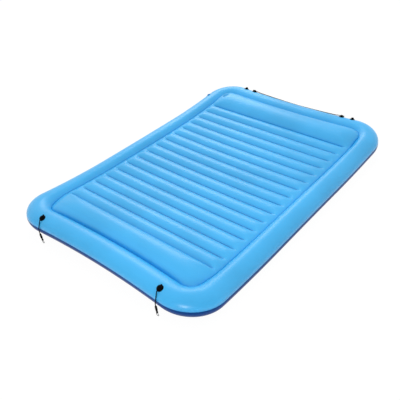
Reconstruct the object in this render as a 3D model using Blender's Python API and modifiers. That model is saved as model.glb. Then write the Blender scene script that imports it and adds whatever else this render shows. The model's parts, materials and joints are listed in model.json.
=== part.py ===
"""Inflatable pool mattress: a ring tube round a channelled deck, with tethers, clips, rope and valves.

Metres, +Z up. The mat's length runs along Y and its foot end is at -Y. The origin lies on the ground
under the middle of the mat, whose ends curl up a little from a flat middle.
"""

import math
from typing import NamedTuple

import bmesh
import bpy
from mathutils import Matrix, Vector
from mathutils.bvhtree import BVHTree
from mathutils.geometry import interpolate_bezier

# Mat outline, measured at the widest line of the tube
MAT_LENGTH = 2.74
MAT_WIDTH = 1.83
SIDE_BOW = 0.013
END_BOW = 0.058
CORNER_LENGTH = 0.303
FLAT_LENGTH = 0.822
END_RISE = 0.066

# Sheet and fits
SKIN = 0.0005
FIT_GAP = 0.0003
MERGE = 0.00001

# Rim tube
RIM_HEIGHT = 0.178
RIM_WIDTH = 0.199
CREASE_INSET = 0.166
BAND_WALL = 0.0005
JOIN_ANGLE = math.radians(5.4)
REST_ANGLE = math.radians(8)

# Deck
FOOT_LENGTH = 0.445
HEAD_LENGTH = 0.479
SEAM_DROP = 0.030
CHANNEL_BULGE = 0.021
PILLOW_BULGE = 0.040
SEAM_COUNT = 16
CHANNEL_FADE_POWER = 30
PILLOW_FADE_POWER = 6

# I-beams
BEAM_WALL = 0.0005
BEAM_FLANGE = 0.012
BEAM_END_GAP = 0.037

# Cords and moulded eyes
CORD_RADIUS = 0.003
EYE_FROM_SIDE = 0.335
EYE_SPACING = 0.103
EYE_RADIUS = 0.024
EYE_BASE = 0.003
EYE_EDGE_BEVEL = 0.001
EYE_BOSS_RADIUS = 0.0135
EYE_BOSS_HEIGHT = 0.018
EYE_HOLE_HEIGHT = 0.010
EYE_HOLE_RADIUS = 0.0042
KNOT_RADIUS = 0.0055

# Clips, hanging from the foot end's cords
LEFT_CLIP_LEAN = math.radians(11)
RIGHT_CLIP_LEAN = math.radians(6)
SLEEVE_LENGTH = 0.044
SLEEVE_RADIUS = 0.0075
SLEEVE_NOSE_RADIUS = 0.0055
SLEEVE_TAPER = 0.007
STEM_RADIUS = 0.0022
STEM_LENGTH = 0.012
STEM_NECK = 0.003
STEM_HOLE_GAP = 0.0004
COLLAR_RADIUS = 0.0065
COLLAR_LENGTH = 0.014
COLLAR_BEVEL = 0.0015
SLOT_DEPTH = 0.008
RING_WIRE = 0.0016
RING_RADIUS = 0.0099
RING_DROP = 0.0285
RING_LEG_X = 0.0036
RING_START_ANGLE = math.radians(48)
RING_END_ANGLE = math.radians(-202)
GATE_PIVOT_X = -0.0034
GATE_PIVOT_DEPTH = 0.010
GATE_HALF_WIDTH = 0.0014
PIN_RADIUS = 0.0007
PIN_LENGTH = 0.0104
PIN_HOLE_RADIUS = 0.0010

# Valves
VALVE_BORE = 0.0070
VALVE_NECK = 0.0085
VALVE_NECK_DEPTH = 0.011
VALVE_COLLAR = 0.0105
VALVE_COLLAR_HEIGHT = 0.0045
VALVE_FLANGE = 0.0170
VALVE_FLANGE_WALL = 0.0012
VALVE_SEAT_GAP = 0.0004
CAP_RADIUS = 0.0125
CAP_WALL = 0.0028
CAP_BEVEL = 0.0008
PLUG_RADIUS = 0.0064
PLUG_DEPTH = 0.0035
STRAP_HALF_WIDTH = 0.0035
STRAP_REACH = 0.0158
STRAP_KNUCKLE = 0.0012
FLAP_RADIUS = 0.0082
FLAP_WALL = 0.0010
DECK_VALVE_FROM_SIDE = 0.225
DECK_VALVE_FROM_END = 0.315
RIM_VALVE_FROM_END = 0.360

# Facets
SIDE_STEPS = 10
END_STEPS = 6
CORNER_STEPS = 6
RIM_TOP_STEPS = 8
RIM_OUTER_STEPS = 4
RIM_INNER_STEPS = 2
EYE_FACET = 3
VALVE_FACET = 3
SHOULDER_SHARE = 0.94
TOP_CHANNEL_SHARES = (0, 0.25, 0.5, 0.75)
BOTTOM_CHANNEL_SHARES = (0, 1 / 3, 2 / 3)
TOP_PILLOW_SHARES = (0.25, 0.5, 0.75, 1)
BOTTOM_PILLOW_SHARES = (0.3, 0.7, 1)
TURN_STEPS = 20
SMALL_TURN_STEPS = 12
EYE_CROWN_SHARES = (0.5, 0.86, 0.87)
STRAP_ROOT_SHARE = 0.9
CORD_SPACING = 2.5 * 2 * CORD_RADIUS
CORD_BEVEL_RESOLUTION = 2

# Routes of the cords, chosen by hand: (X, Y, Z)
LEFT_CORD_ROUTE = (
    (-0.5809, -1.2757, 0.2349),
    (-0.5797, -1.2883, 0.2301),
    (-0.5785, -1.3009, 0.2253),
    (-0.5774, -1.3096, 0.2192),
    (-0.5748, -1.3185, 0.2062),
    (-0.5726, -1.3275, 0.1910),
    (-0.5718, -1.3340, 0.1780),
    (-0.5740, -1.3386, 0.1547),
    (-0.5768, -1.3399, 0.1400),
    (-0.5773, -1.3403, 0.1290),
    (-0.5745, -1.3405, 0.1143),
)
RIGHT_CORD_ROUTE = (
    (0.5809, -1.2757, 0.2349),
    (0.5797, -1.2883, 0.2301),
    (0.5785, -1.3009, 0.2253),
    (0.5778, -1.3096, 0.2192),
    (0.5797, -1.3185, 0.2062),
    (0.5835, -1.3275, 0.1910),
    (0.5857, -1.3348, 0.1780),
    (0.5850, -1.3394, 0.1547),
    (0.5818, -1.3402, 0.1400),
    (0.5799, -1.3403, 0.1290),
    (0.5810, -1.3405, 0.1143),
)
ROPE_ROUTE = (
    (-0.4901, 1.2823, 0.2292),
    (-0.4767, 1.2810, 0.2292),
    (-0.4633, 1.2797, 0.2292),
    (-0.4450, 1.2799, 0.2269),
    (-0.4100, 1.2828, 0.2203),
    (-0.3700, 1.2885, 0.2150),
    (-0.3100, 1.2921, 0.2099),
    (-0.2300, 1.2944, 0.2052),
    (-0.1200, 1.2972, 0.2003),
    (0.0000, 1.2976, 0.1982),
    (0.1200, 1.2972, 0.2003),
    (0.2300, 1.2944, 0.2052),
    (0.3100, 1.2921, 0.2099),
    (0.3700, 1.2885, 0.2150),
    (0.4100, 1.2828, 0.2203),
    (0.4450, 1.2799, 0.2269),
    (0.4633, 1.2797, 0.2292),
    (0.4767, 1.2810, 0.2292),
    (0.4901, 1.2823, 0.2292),
)

# Worked out from the sizes above
HALF_LENGTH = MAT_LENGTH / 2
HALF_WIDTH = MAT_WIDTH / 2
RIM_HALF_WIDTH = RIM_WIDTH / 2
RIM_HALF_HEIGHT = RIM_HEIGHT / (1 + math.cos(REST_ANGLE))
RIM_CENTRE_Z = RIM_HEIGHT - RIM_HALF_HEIGHT
CREASE_ANGLE = math.acos(1 - (CREASE_INSET - BAND_WALL / 2 - FIT_GAP) / RIM_HALF_WIDTH)
CREASE_HEIGHT = RIM_CENTRE_Z + RIM_HALF_HEIGHT * math.sin(CREASE_ANGLE)
LOWER_CREASE_HEIGHT = RIM_CENTRE_Z - RIM_HALF_HEIGHT * math.sin(CREASE_ANGLE)
JOIN_HALF_GAP = FIT_GAP / 2 / RIM_HALF_HEIGHT
SEAM_HEIGHT = RIM_HEIGHT - SEAM_DROP
FIRST_SEAM_Y = FOOT_LENGTH - HALF_LENGTH
SEAM_PITCH = (MAT_LENGTH - FOOT_LENGTH - HEAD_LENGTH) / (SEAM_COUNT - 1)


class Row(NamedTuple):
    """One row of the deck's grid, from its left edge to its right edge."""

    y: float
    end_share: float
    height: float
    fade_power: float


def clear_scene():
    for obj in list(bpy.data.objects):
        bpy.data.objects.remove(obj, do_unlink=True)


def new_collection(name):
    collection = bpy.data.collections.new(name)
    bpy.context.scene.collection.children.link(collection)
    return collection


def new_material(name, colour, roughness, metallic=0.0):
    material = bpy.data.materials.new(name)
    material.use_nodes = True
    shader = material.node_tree.nodes["Principled BSDF"]
    shader.inputs["Base Color"].default_value = (*colour, 1)
    shader.inputs["Roughness"].default_value = roughness
    shader.inputs["Metallic"].default_value = metallic
    return material


def add_object(name, data, frame, material):
    """Links a new object of the mat and gives it its own material."""
    obj = bpy.data.objects.new(name, data)
    obj.matrix_world = frame
    if material is not None:
        data.materials.append(material)
    MAT.objects.link(obj)
    return obj


def mesh_object(name, bm, frame, material):
    """Turns a bmesh into an object of the mat."""
    mesh = bpy.data.meshes.new(name)
    bm.to_mesh(mesh)
    bm.free()
    mesh.shade_smooth()
    return add_object(name, mesh, frame, material)


def lerp(low, high, share):
    return low + (high - low) * share


def arc_share(share):
    """Height of a bulging sheet between two seams, as a share of its crest."""
    return 4 * share * (1 - share)


def side_point(start, end, bow, share):
    """A point on a side that bows inwards by this much at its middle."""
    inwards = Vector((start.y - end.y, end.x - start.x)).normalized()
    return start.lerp(end, share) + inwards * bow * arc_share(share)


def side_direction(start, end, bow, share):
    inwards = Vector((start.y - end.y, end.x - start.x)).normalized()
    return (end - start + inwards * bow * 4 * (1 - 2 * share)).normalized()


def rounded_corner(start, start_direction, end, end_direction):
    """Points between the ends of two sides, on a curve that leaves and meets them smoothly."""
    turn = start_direction.angle(end_direction)
    radius = (end - start).length / 2 / math.sin(turn / 2)
    handle = 4 / 3 * math.tan(turn / 4) * radius
    ends = (start, start + start_direction * handle, end - end_direction * handle, end)
    return interpolate_bezier(*(point.to_3d() for point in ends), CORNER_STEPS + 1)[1:-1]


def outline():
    """The mat's widest line, anticlockwise from the right side's near end."""
    corners = [
        Vector((HALF_WIDTH, -HALF_LENGTH)),
        Vector((HALF_WIDTH, HALF_LENGTH)),
        Vector((-HALF_WIDTH, HALF_LENGTH)),
        Vector((-HALF_WIDTH, -HALF_LENGTH)),
    ]
    sides = []
    for index, start in enumerate(corners):
        end = corners[(index + 1) % 4]
        bow, steps = ((SIDE_BOW, SIDE_STEPS), (END_BOW, END_STEPS))[index % 2]
        cut_share = CORNER_LENGTH / (end - start).length
        shares = [lerp(cut_share, 1 - cut_share, step / steps) for step in range(steps + 1)]
        sides.append(
            (
                [side_point(start, end, bow, share) for share in shares],
                side_direction(start, end, bow, shares[0]),
                side_direction(start, end, bow, shares[-1]),
            )
        )
    points = []
    for index, (side, _, leaving) in enumerate(sides):
        following, meeting, _ = sides[(index + 1) % 4]
        corner = rounded_corner(side[-1], leaving, following[0], meeting)
        points += side + [point.to_2d() for point in corner]
    return points


def ring(inset):
    """The outline moved inwards by this much, station by station."""
    moved = []
    for index, point in enumerate(OUTLINE):
        before = (point - OUTLINE[index - 1]).normalized()
        after = (OUTLINE[(index + 1) % len(OUTLINE)] - point).normalized()
        along = (before + after).normalized()
        moved.append(point - Vector((along.y, -along.x)) * inset)
    return moved


def crossing(points, axis, value):
    """The other coordinate where the closed line crosses a value of one axis, on the positive side."""
    other = 1 - axis
    for start, end in zip(points, points[1:] + points[:1]):
        low, high = start[axis] - value, end[axis] - value
        if low * high <= 0 and low != high and start[other] > 0 and end[other] > 0:
            return lerp(start[other], end[other], low / (low - high))
    raise ValueError("the line doesn't reach this value")


def rise(y):
    """How far the curl lifts the mat at this distance along it."""
    flat = FLAT_LENGTH / 2
    return END_RISE * max(0, (abs(y) - flat) / (HALF_LENGTH - flat)) ** 2


def lifted(x, y, z):
    return Vector((x, y, z + rise(y)))


def rim_point(stations, angle, index):
    """A point on the rim's skin at a station, at an angle round the tube from its widest line."""
    inset = RIM_HALF_WIDTH * (1 - math.cos(angle))
    place = stations(inset)[index % len(OUTLINE)]
    return lifted(place.x, place.y, RIM_CENTRE_Z + RIM_HALF_HEIGHT * math.sin(angle))


def grid_skin(name, columns, rows, place, material, wall, offset=-1):
    """A sheet of columns by rows cells with its corners put by place, thickened by a wall."""
    bm = bmesh.new()
    bmesh.ops.create_grid(bm, x_segments=columns, y_segments=rows, size=1)
    for vert in bm.verts:
        column = round((vert.co.x + 1) / 2 * columns)
        row = round((vert.co.y + 1) / 2 * rows)
        vert.co = place(column, row)
    bmesh.ops.remove_doubles(bm, verts=bm.verts, dist=MERGE)
    obj = mesh_object(name, bm, Matrix(), material)
    solidify = obj.modifiers.new("Wall", "SOLIDIFY")
    solidify.thickness = wall
    solidify.offset = offset
    return obj


def rim_skin(name, angles, material):
    """Half of the rim's tube, between the first and last of these angles round it."""
    count = len(OUTLINE)
    rings = [ring(RIM_HALF_WIDTH * (1 - math.cos(angle))) for angle in angles]

    def place(column, row):
        at = rings[row][column % count]
        return lifted(at.x, at.y, RIM_CENTRE_Z + RIM_HALF_HEIGHT * math.sin(angles[row]))

    return grid_skin(name, count, len(angles) - 1, place, material, SKIN)


def spaced(start, end, steps):
    return [lerp(start, end, step / steps) for step in range(steps + 1)]


def make_rim():
    top_angles = spaced(JOIN_ANGLE + JOIN_HALF_GAP, CREASE_ANGLE, RIM_TOP_STEPS)
    down = -math.pi / 2
    bottom_angles = spaced(-CREASE_ANGLE, down - REST_ANGLE, RIM_INNER_STEPS) + spaced(
        down + REST_ANGLE, JOIN_ANGLE - JOIN_HALF_GAP, RIM_OUTER_STEPS
    )
    top = rim_skin("rim_top_skin", top_angles, SKY_BLUE)
    rim_skin("rim_bottom_skin", bottom_angles, NAVY)
    return top, top_angles


def make_band():
    """The upright strip that closes the rim's tube off from the deck."""
    stations = ring(CREASE_INSET)

    def place(column, row):
        at = stations[column % len(stations)]
        return lifted(at.x, at.y, (LOWER_CREASE_HEIGHT, CREASE_HEIGHT)[row])

    grid_skin("partition_band", len(stations), 1, place, CLEAR_BLUE, BAND_WALL, 0)


def seam_y(index):
    return FIRST_SEAM_Y + SEAM_PITCH * index


def deck_rows(channel_shares, pillow_shares, seam, channel_crest, pillow_crest, crease, corner_y):
    """The rows of one side of the deck, from the foot end's edge to the head end's edge."""

    def pillow(seam_at, end_at):
        return [
            Row(
                lerp(seam_at, end_at, share),
                share,
                lerp(seam, crease, share) + (pillow_crest - seam) * arc_share(share),
                PILLOW_FADE_POWER,
            )
            for share in pillow_shares
        ]

    rows = pillow(seam_y(0), -corner_y)[::-1]
    for index in range(SEAM_COUNT - 1):
        for share in channel_shares:
            height = lerp(seam, channel_crest, min(1, arc_share(share)))
            rows.append(Row(seam_y(index) + SEAM_PITCH * share, 0, height, CHANNEL_FADE_POWER))
    rows.append(Row(seam_y(SEAM_COUNT - 1), 0, seam, CHANNEL_FADE_POWER))
    return rows + pillow(seam_y(SEAM_COUNT - 1), corner_y)


def deck_skin(name, rows, crease, edge, corner, material):
    """A sheet over all the deck's rows, down to the crease's height at its edge."""
    middle = SIDE_STEPS + CORNER_STEPS + END_STEPS // 2
    half = [edge[middle - step].x / corner.x for step in range(END_STEPS // 2)]
    half += [SHOULDER_SHARE, 1]
    shares = [-share for share in half[:0:-1]] + half

    def place(column, row):
        line, share = rows[row], shares[column]
        x = share * crossing(edge, 1, abs(line.y))
        end_y = crossing(edge, 0, abs(share) * corner.x) - corner.y
        y = line.y + math.copysign(1, line.y) * line.end_share * end_y
        height = lerp(line.height, crease, abs(share) ** line.fade_power)
        return lifted(x, y, height)

    return grid_skin(name, len(shares) - 1, len(rows) - 1, place, material, SKIN)


def make_deck():
    """The deck's two sheets, whose seams lie over and under the I-beams."""
    edge = ring(CREASE_INSET + BAND_WALL / 2 + FIT_GAP)
    corner = edge[SIDE_STEPS + CORNER_STEPS // 2]
    top_rows = deck_rows(
        TOP_CHANNEL_SHARES,
        TOP_PILLOW_SHARES,
        SEAM_HEIGHT,
        SEAM_HEIGHT + CHANNEL_BULGE,
        SEAM_HEIGHT + PILLOW_BULGE,
        CREASE_HEIGHT,
        corner.y,
    )
    top = deck_skin("deck_top_skin", top_rows, CREASE_HEIGHT, edge, corner, SKY_BLUE)
    rest_share = arc_share(BOTTOM_CHANNEL_SHARES[1])
    lowest = lerp(SEAM_DROP, 0, 1 / rest_share)
    bottom_rows = deck_rows(
        BOTTOM_CHANNEL_SHARES,
        BOTTOM_PILLOW_SHARES,
        SEAM_DROP,
        lowest,
        lowest,
        LOWER_CREASE_HEIGHT,
        corner.y,
    )
    bottom_rows = [row._replace(height=max(0, row.height)) for row in bottom_rows]
    bottom = deck_skin("deck_bottom_skin", bottom_rows, LOWER_CREASE_HEIGHT, edge, corner, NAVY)
    bottom.data.flip_normals()
    return top, edge


def flat_object(name, outlines, thickness, frame, material):
    """A plate cut to these closed outlines, centred on its frame's XY plane; inner ones are holes."""
    curve = bpy.data.curves.new(name, "CURVE")
    curve.dimensions = "2D"
    curve.fill_mode = "BOTH"
    curve.extrude = thickness / 2
    for points in outlines:
        spline = curve.splines.new("POLY")
        spline.points.add(len(points) - 1)
        for point, (x, y) in zip(spline.points, points):
            point.co = (x, y, 0, 1)
        spline.use_cyclic_u = True
    return add_object(name, curve, frame, material)


def i_outline(height):
    """An upright I in the XY plane, with its foot at Y = 0."""
    web, flange = BEAM_WALL / 2, BEAM_FLANGE / 2
    right = [
        (flange, 0),
        (flange, BEAM_WALL),
        (web, BEAM_WALL),
        (web, height - BEAM_WALL),
        (flange, height - BEAM_WALL),
        (flange, height),
    ]
    return right + [(-x, y) for x, y in reversed(right)]


def make_beams(edge):
    """One I-beam under each seam, stopping short of the band so that air passes its ends."""
    clear = SKIN + FIT_GAP
    height = SEAM_HEIGHT - SEAM_DROP - 2 * clear
    stand = Matrix(((0, 0, 1, 0), (1, 0, 0, 0), (0, 1, 0, 0), (0, 0, 0, 1)))
    for index in range(SEAM_COUNT):
        y = seam_y(index)
        length = 2 * (crossing(edge, 1, abs(y)) - BEAM_END_GAP)
        frame = Matrix.Translation(lifted(0, y, SEAM_DROP + clear)) @ stand
        flat_object(f"i_beam_{index + 1:02d}", [i_outline(height)], length, frame, CLEAR_BLUE)


def turned(name, profile, steps, frame, material, closed=False):
    """A solid turned about the frame's Z from (radius, height) points, down its outer side."""
    bm = bmesh.new()
    verts = [bm.verts.new((radius, 0, height)) for radius, height in profile]
    for start, end in zip(verts, verts[1:] + verts[:1] if closed else verts[1:]):
        bm.edges.new((start, end))
    obj = mesh_object(name, bm, frame, material)
    screw = obj.modifiers.new("Turn", "SCREW")
    screw.steps = screw.render_steps = steps
    screw.use_merge_vertices = True
    screw.merge_threshold = MERGE
    return obj


def cut(obj, cutter, operation="DIFFERENCE"):
    boolean = obj.modifiers.new(cutter.name, "BOOLEAN")
    boolean.operation = operation
    boolean.object = cutter


def tool(obj):
    """Puts an object among the cutters, out of the render."""
    MAT.objects.unlink(obj)
    CUTTERS.objects.link(obj)
    obj.hide_render = True
    obj.display_type = "WIRE"
    return obj


def rod(name, radius, length, frame, material, steps=SMALL_TURN_STEPS):
    """A cylinder centred on its frame, along Z."""
    half = length / 2
    profile = [(0, half), (radius, half), (radius, -half), (0, -half)]
    return turned(name, profile, steps, frame, material)


def seat_frame(skin, target):
    """A frame on the skin nearest to a target, with Z out of the skin and X level."""
    graph = bpy.context.evaluated_depsgraph_get()
    tree = BVHTree.FromObject(skin, graph)
    place, out, _, _ = tree.find_nearest(target)
    level = Vector((0, 0, 1)).cross(out)
    level = level.normalized() if level.length > MERGE else Vector((1, 0, 0))
    across = out.cross(level)
    turn = Matrix((level, across, out)).transposed().to_4x4()
    return Matrix.Translation(place) @ turn


def eye_frame(rim_top, x, end, angle):
    """An eye's seat on the rim at one end of the mat, end being -1 at the foot and 1 at the head."""
    stations = ring(RIM_HALF_WIDTH * (1 - math.cos(angle)))
    y = crossing(stations, 0, abs(x))
    target = lifted(x, end * y, RIM_CENTRE_Z + RIM_HALF_HEIGHT * math.sin(angle))
    return seat_frame(rim_top, target) @ Matrix.Translation((0, 0, FIT_GAP))


def make_eye(name, frame, hole_turn):
    """A moulded round patch with a boss, and a hole through the boss for a cord."""
    shoulder = EYE_BASE + EYE_EDGE_BEVEL
    profile = [
        (0, EYE_BOSS_HEIGHT),
        (EYE_BOSS_RADIUS * EYE_CROWN_SHARES[0], EYE_BOSS_HEIGHT - EYE_EDGE_BEVEL),
        (EYE_BOSS_RADIUS * EYE_CROWN_SHARES[1], EYE_BOSS_HEIGHT * EYE_CROWN_SHARES[2]),
        (EYE_BOSS_RADIUS, shoulder),
        (EYE_BOSS_RADIUS + EYE_EDGE_BEVEL, EYE_BASE),
        (EYE_RADIUS - EYE_EDGE_BEVEL, EYE_BASE),
        (EYE_RADIUS, EYE_BASE - EYE_EDGE_BEVEL),
        (EYE_RADIUS, 0),
        (0, 0),
    ]
    eye = turned(name, profile, TURN_STEPS, frame, RUBBER_BLACK)
    along = Matrix.Rotation(hole_turn, 4, "Z") @ Matrix.Rotation(math.pi / 2, 4, "X")
    hole = frame @ Matrix.Translation((0, 0, EYE_HOLE_HEIGHT)) @ along
    cutter = rod(f"{name}_hole", EYE_HOLE_RADIUS, 2 * EYE_RADIUS, hole, None)
    cut(eye, tool(cutter))
    return eye


def make_knot(name, frame, reach):
    """A cord's stopper knot against an eye, on this side of it along the hole."""
    bm = bmesh.new()
    bmesh.ops.create_uvsphere(bm, u_segments=SMALL_TURN_STEPS, v_segments=6, radius=KNOT_RADIUS)
    place = frame @ Matrix.Translation((*reach, EYE_HOLE_HEIGHT))
    mesh_object(name, bm, place, CORD_BLACK)


def smooth_route(route):
    """Points at an even spacing along a smooth curve through a route's own points."""
    points = [Vector(point) for point in route]
    slopes = [
        (points[min(index + 1, len(points) - 1)] - points[max(index - 1, 0)]).normalized()
        for index in range(len(points))
    ]
    smooth = [points[0]]
    for start, end, leaving, meeting in zip(points, points[1:], slopes, slopes[1:]):
        reach = (end - start).length / 3
        steps = max(1, round((end - start).length / CORD_SPACING))
        smooth += interpolate_bezier(
            start, start + leaving * reach, end - meeting * reach, end, steps + 1
        )[1:]
    return smooth


def wire(name, points, radius, material, resolution=CORD_BEVEL_RESOLUTION):
    """A round tube along these points, with closed ends."""
    curve = bpy.data.curves.new(name, "CURVE")
    curve.dimensions = "3D"
    curve.bevel_depth = radius
    curve.bevel_resolution = resolution
    curve.use_fill_caps = True
    spline = curve.splines.new("POLY")
    spline.points.add(len(points) - 1)
    for point, place in zip(spline.points, points):
        point.co = (*place, 1)
    return add_object(name, curve, Matrix(), material)


def make_clip(side, cord_end, lean):
    """The sleeve on a cord's end, and the clip that turns below it, leaning out of plumb towards +X."""
    hang = Matrix.Translation(cord_end) @ Matrix.Rotation(-lean, 4, "Y")
    top = hang @ Matrix.Translation((0, 0, -FIT_GAP))
    sleeve_profile = [
        (0, 0),
        (SLEEVE_NOSE_RADIUS, 0),
        (SLEEVE_RADIUS, -SLEEVE_TAPER),
        (SLEEVE_RADIUS, SLEEVE_TAPER - SLEEVE_LENGTH),
        (SLEEVE_NOSE_RADIUS, -SLEEVE_LENGTH),
        (STEM_RADIUS + STEM_HOLE_GAP, -SLEEVE_LENGTH),
        (STEM_RADIUS + STEM_HOLE_GAP, STEM_LENGTH - STEM_NECK - SLEEVE_LENGTH + FIT_GAP),
        (0, STEM_LENGTH - STEM_NECK - SLEEVE_LENGTH + FIT_GAP),
    ]
    turned(f"cord_sleeve_{side}", sleeve_profile, SMALL_TURN_STEPS, top, PLASTIC_BLACK)

    collar_top = top @ Matrix.Translation((0, 0, -SLEEVE_LENGTH - STEM_NECK))
    collar_profile = [
        (0, STEM_LENGTH),
        (STEM_RADIUS, STEM_LENGTH),
        (STEM_RADIUS, 0),
        (COLLAR_RADIUS - COLLAR_BEVEL, 0),
        (COLLAR_RADIUS, -COLLAR_BEVEL),
        (COLLAR_RADIUS, -COLLAR_LENGTH),
        (0, -COLLAR_LENGTH),
    ]
    collar = turned(
        f"swivel_collar_{side}", collar_profile, TURN_STEPS, collar_top, PLASTIC_BLACK
    )
    slot_width = 2 * (RING_WIRE + FIT_GAP)
    bm = bmesh.new()
    bmesh.ops.create_cube(bm, size=1)
    size = Matrix.Diagonal((4 * COLLAR_RADIUS, slot_width, 2 * SLOT_DEPTH, 1))
    bmesh.ops.transform(bm, matrix=size, verts=bm.verts)
    slot_place = collar_top @ Matrix.Translation((0, 0, -COLLAR_LENGTH))
    cut(collar, tool(mesh_object(f"collar_slot_{side}", bm, slot_place, None)))

    pivot = collar_top @ Matrix.Translation((GATE_PIVOT_X, 0, -GATE_PIVOT_DEPTH))
    along_y = Matrix.Rotation(math.pi / 2, 4, "X")
    hole = rod(f"pin_hole_{side}", PIN_HOLE_RADIUS, 4 * COLLAR_RADIUS, pivot @ along_y, None)
    cut(collar, tool(hole))
    rod(f"gate_pin_{side}", PIN_RADIUS, PIN_LENGTH, pivot @ along_y, STEEL)

    leg_top = SLOT_DEPTH - COLLAR_LENGTH - FIT_GAP
    turn_steps = 18
    path = [(RING_LEG_X, leg_top), (RING_LEG_X, -COLLAR_LENGTH)]
    for step in range(turn_steps + 1):
        angle = lerp(RING_START_ANGLE, RING_END_ANGLE, step / turn_steps)
        path.append((RING_RADIUS * math.cos(angle), RING_RADIUS * math.sin(angle) - RING_DROP))
    places = [collar_top @ Vector((across, 0, up)) for across, up in path]
    wire(f"snap_ring_{side}", places, RING_WIRE, STEEL)
    make_gate(side, pivot, path[-1], path[-2])


def capsule(start, end, radius, steps=5):
    """Outline of a bar with round ends between two points."""
    along = (end - start).normalized()
    first = math.atan2(along.x, -along.y)
    ends = []
    for centre, turn in ((end, first - math.pi), (start, first)):
        for step in range(steps + 1):
            angle = turn + math.pi * step / steps
            ends.append(centre + radius * Vector((math.cos(angle), math.sin(angle))))
    return ends


def make_gate(side, pivot, nose, before_nose):
    """The clip's sprung gate, from its pin to just short of the ring's open end."""
    nose_at = Vector(nose) + Vector((-GATE_PIVOT_X, GATE_PIVOT_DEPTH))
    along = (Vector(nose) - Vector(before_nose)).normalized()
    tip = nose_at + along * (GATE_HALF_WIDTH + FIT_GAP)
    bar = capsule(Vector((0, 0)), tip, GATE_HALF_WIDTH)
    hole = [
        PIN_HOLE_RADIUS * Vector((math.cos(angle), math.sin(angle)))
        for angle in spaced(0, 2 * math.pi, SMALL_TURN_STEPS)[:-1]
    ]
    upright = Matrix(((1, 0, 0, 0), (0, 0, -1, 0), (0, 1, 0, 0), (0, 0, 0, 1)))
    flat_object(f"snap_gate_{side}", [bar, hole], 2 * RING_WIRE, pivot @ upright, STEEL)


def make_valve(name, skin, frame):
    """A valve welded on a skin: its seat with a neck, its plug cap on a strap, and its check flap."""
    seat_top = VALVE_SEAT_GAP + VALVE_COLLAR_HEIGHT
    flange_top = VALVE_SEAT_GAP + VALVE_FLANGE_WALL
    seat = [
        (VALVE_COLLAR, seat_top),
        (VALVE_COLLAR, flange_top),
        (VALVE_FLANGE, flange_top),
        (VALVE_FLANGE, VALVE_SEAT_GAP),
        (VALVE_NECK, VALVE_SEAT_GAP),
        (VALVE_NECK, -VALVE_NECK_DEPTH),
        (VALVE_BORE, -VALVE_NECK_DEPTH),
        (VALVE_BORE, seat_top),
    ]
    turned(f"{name}_seat", seat, TURN_STEPS, frame, VALVE_BLUE, closed=True)
    hole = rod(f"{name}_skin_hole", VALVE_NECK + FIT_GAP, 2 * VALVE_NECK_DEPTH, frame, None)
    cut(skin, tool(hole))

    cap_foot = seat_top + FIT_GAP
    cap = [
        (0, cap_foot + CAP_WALL),
        (CAP_RADIUS - CAP_BEVEL, cap_foot + CAP_WALL),
        (CAP_RADIUS, cap_foot + CAP_WALL - CAP_BEVEL),
        (CAP_RADIUS, cap_foot),
        (PLUG_RADIUS, cap_foot),
        (PLUG_RADIUS, cap_foot - PLUG_DEPTH),
        (0, cap_foot - PLUG_DEPTH),
    ]
    cap = turned(f"{name}_cap", cap, TURN_STEPS, frame, VALVE_BLUE)
    strap_z = flange_top + FIT_GAP + STRAP_KNUCKLE
    inner, top = CAP_RADIUS * STRAP_ROOT_SHARE, cap_foot + CAP_WALL / 2
    side_view = [
        Vector((inner, top)),
        Vector((inner, cap_foot)),
        Vector((STRAP_REACH - STRAP_KNUCKLE, strap_z)),
    ]
    knuckle = [
        Vector((STRAP_REACH, strap_z)) + STRAP_KNUCKLE * Vector((math.cos(angle), math.sin(angle)))
        for angle in spaced(-math.pi * 3 / 4, math.pi / 2, 5)
    ]
    sideways = Matrix(((0, 0, 1, 0), (1, 0, 0, 0), (0, 1, 0, 0), (0, 0, 0, 1)))
    strap = flat_object(
        f"{name}_strap", [side_view + knuckle], 2 * STRAP_HALF_WIDTH, frame @ sideways, None
    )
    cut(cap, tool(solid_from_curve(strap)), "UNION")

    flap_z = -VALVE_NECK_DEPTH - FIT_GAP - FLAP_WALL / 2
    rod(
        f"{name}_check_flap",
        FLAP_RADIUS,
        FLAP_WALL,
        frame @ Matrix.Translation((0, 0, flap_z)),
        VALVE_BLUE,
    )


def solid_from_curve(obj):
    """Replaces a curve object with a closed mesh of the same shape."""
    bpy.context.view_layer.update()
    graph = bpy.context.evaluated_depsgraph_get()
    mesh = bpy.data.meshes.new_from_object(obj.evaluated_get(graph))
    bm = bmesh.new()
    bm.from_mesh(mesh)
    bmesh.ops.remove_doubles(bm, verts=bm.verts, dist=MERGE)
    bm.to_mesh(mesh)
    bm.free()
    name, frame = obj.name, obj.matrix_world.copy()
    bpy.data.objects.remove(obj, do_unlink=True)
    return add_object(name, mesh, frame, None)


def make_tethers(rim_top, angle):
    """The foot end's eyes with their cords and clips."""
    eye_x = HALF_WIDTH - EYE_FROM_SIDE
    knot_reach = EYE_BOSS_RADIUS + FIT_GAP + KNOT_RADIUS
    for side, sign, route, lean in (
        ("left", -1, LEFT_CORD_ROUTE, LEFT_CLIP_LEAN),
        ("right", 1, RIGHT_CORD_ROUTE, RIGHT_CLIP_LEAN),
    ):
        frame = eye_frame(rim_top, sign * eye_x, -1, angle)
        make_eye(f"tether_eye_{side}", frame, 0)
        make_knot(f"tether_knot_{side}", frame, (0, knot_reach))
        wire(f"tether_cord_{side}", smooth_route(route), CORD_RADIUS, CORD_BLACK)
        make_clip(side, route[-1], lean)


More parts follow.
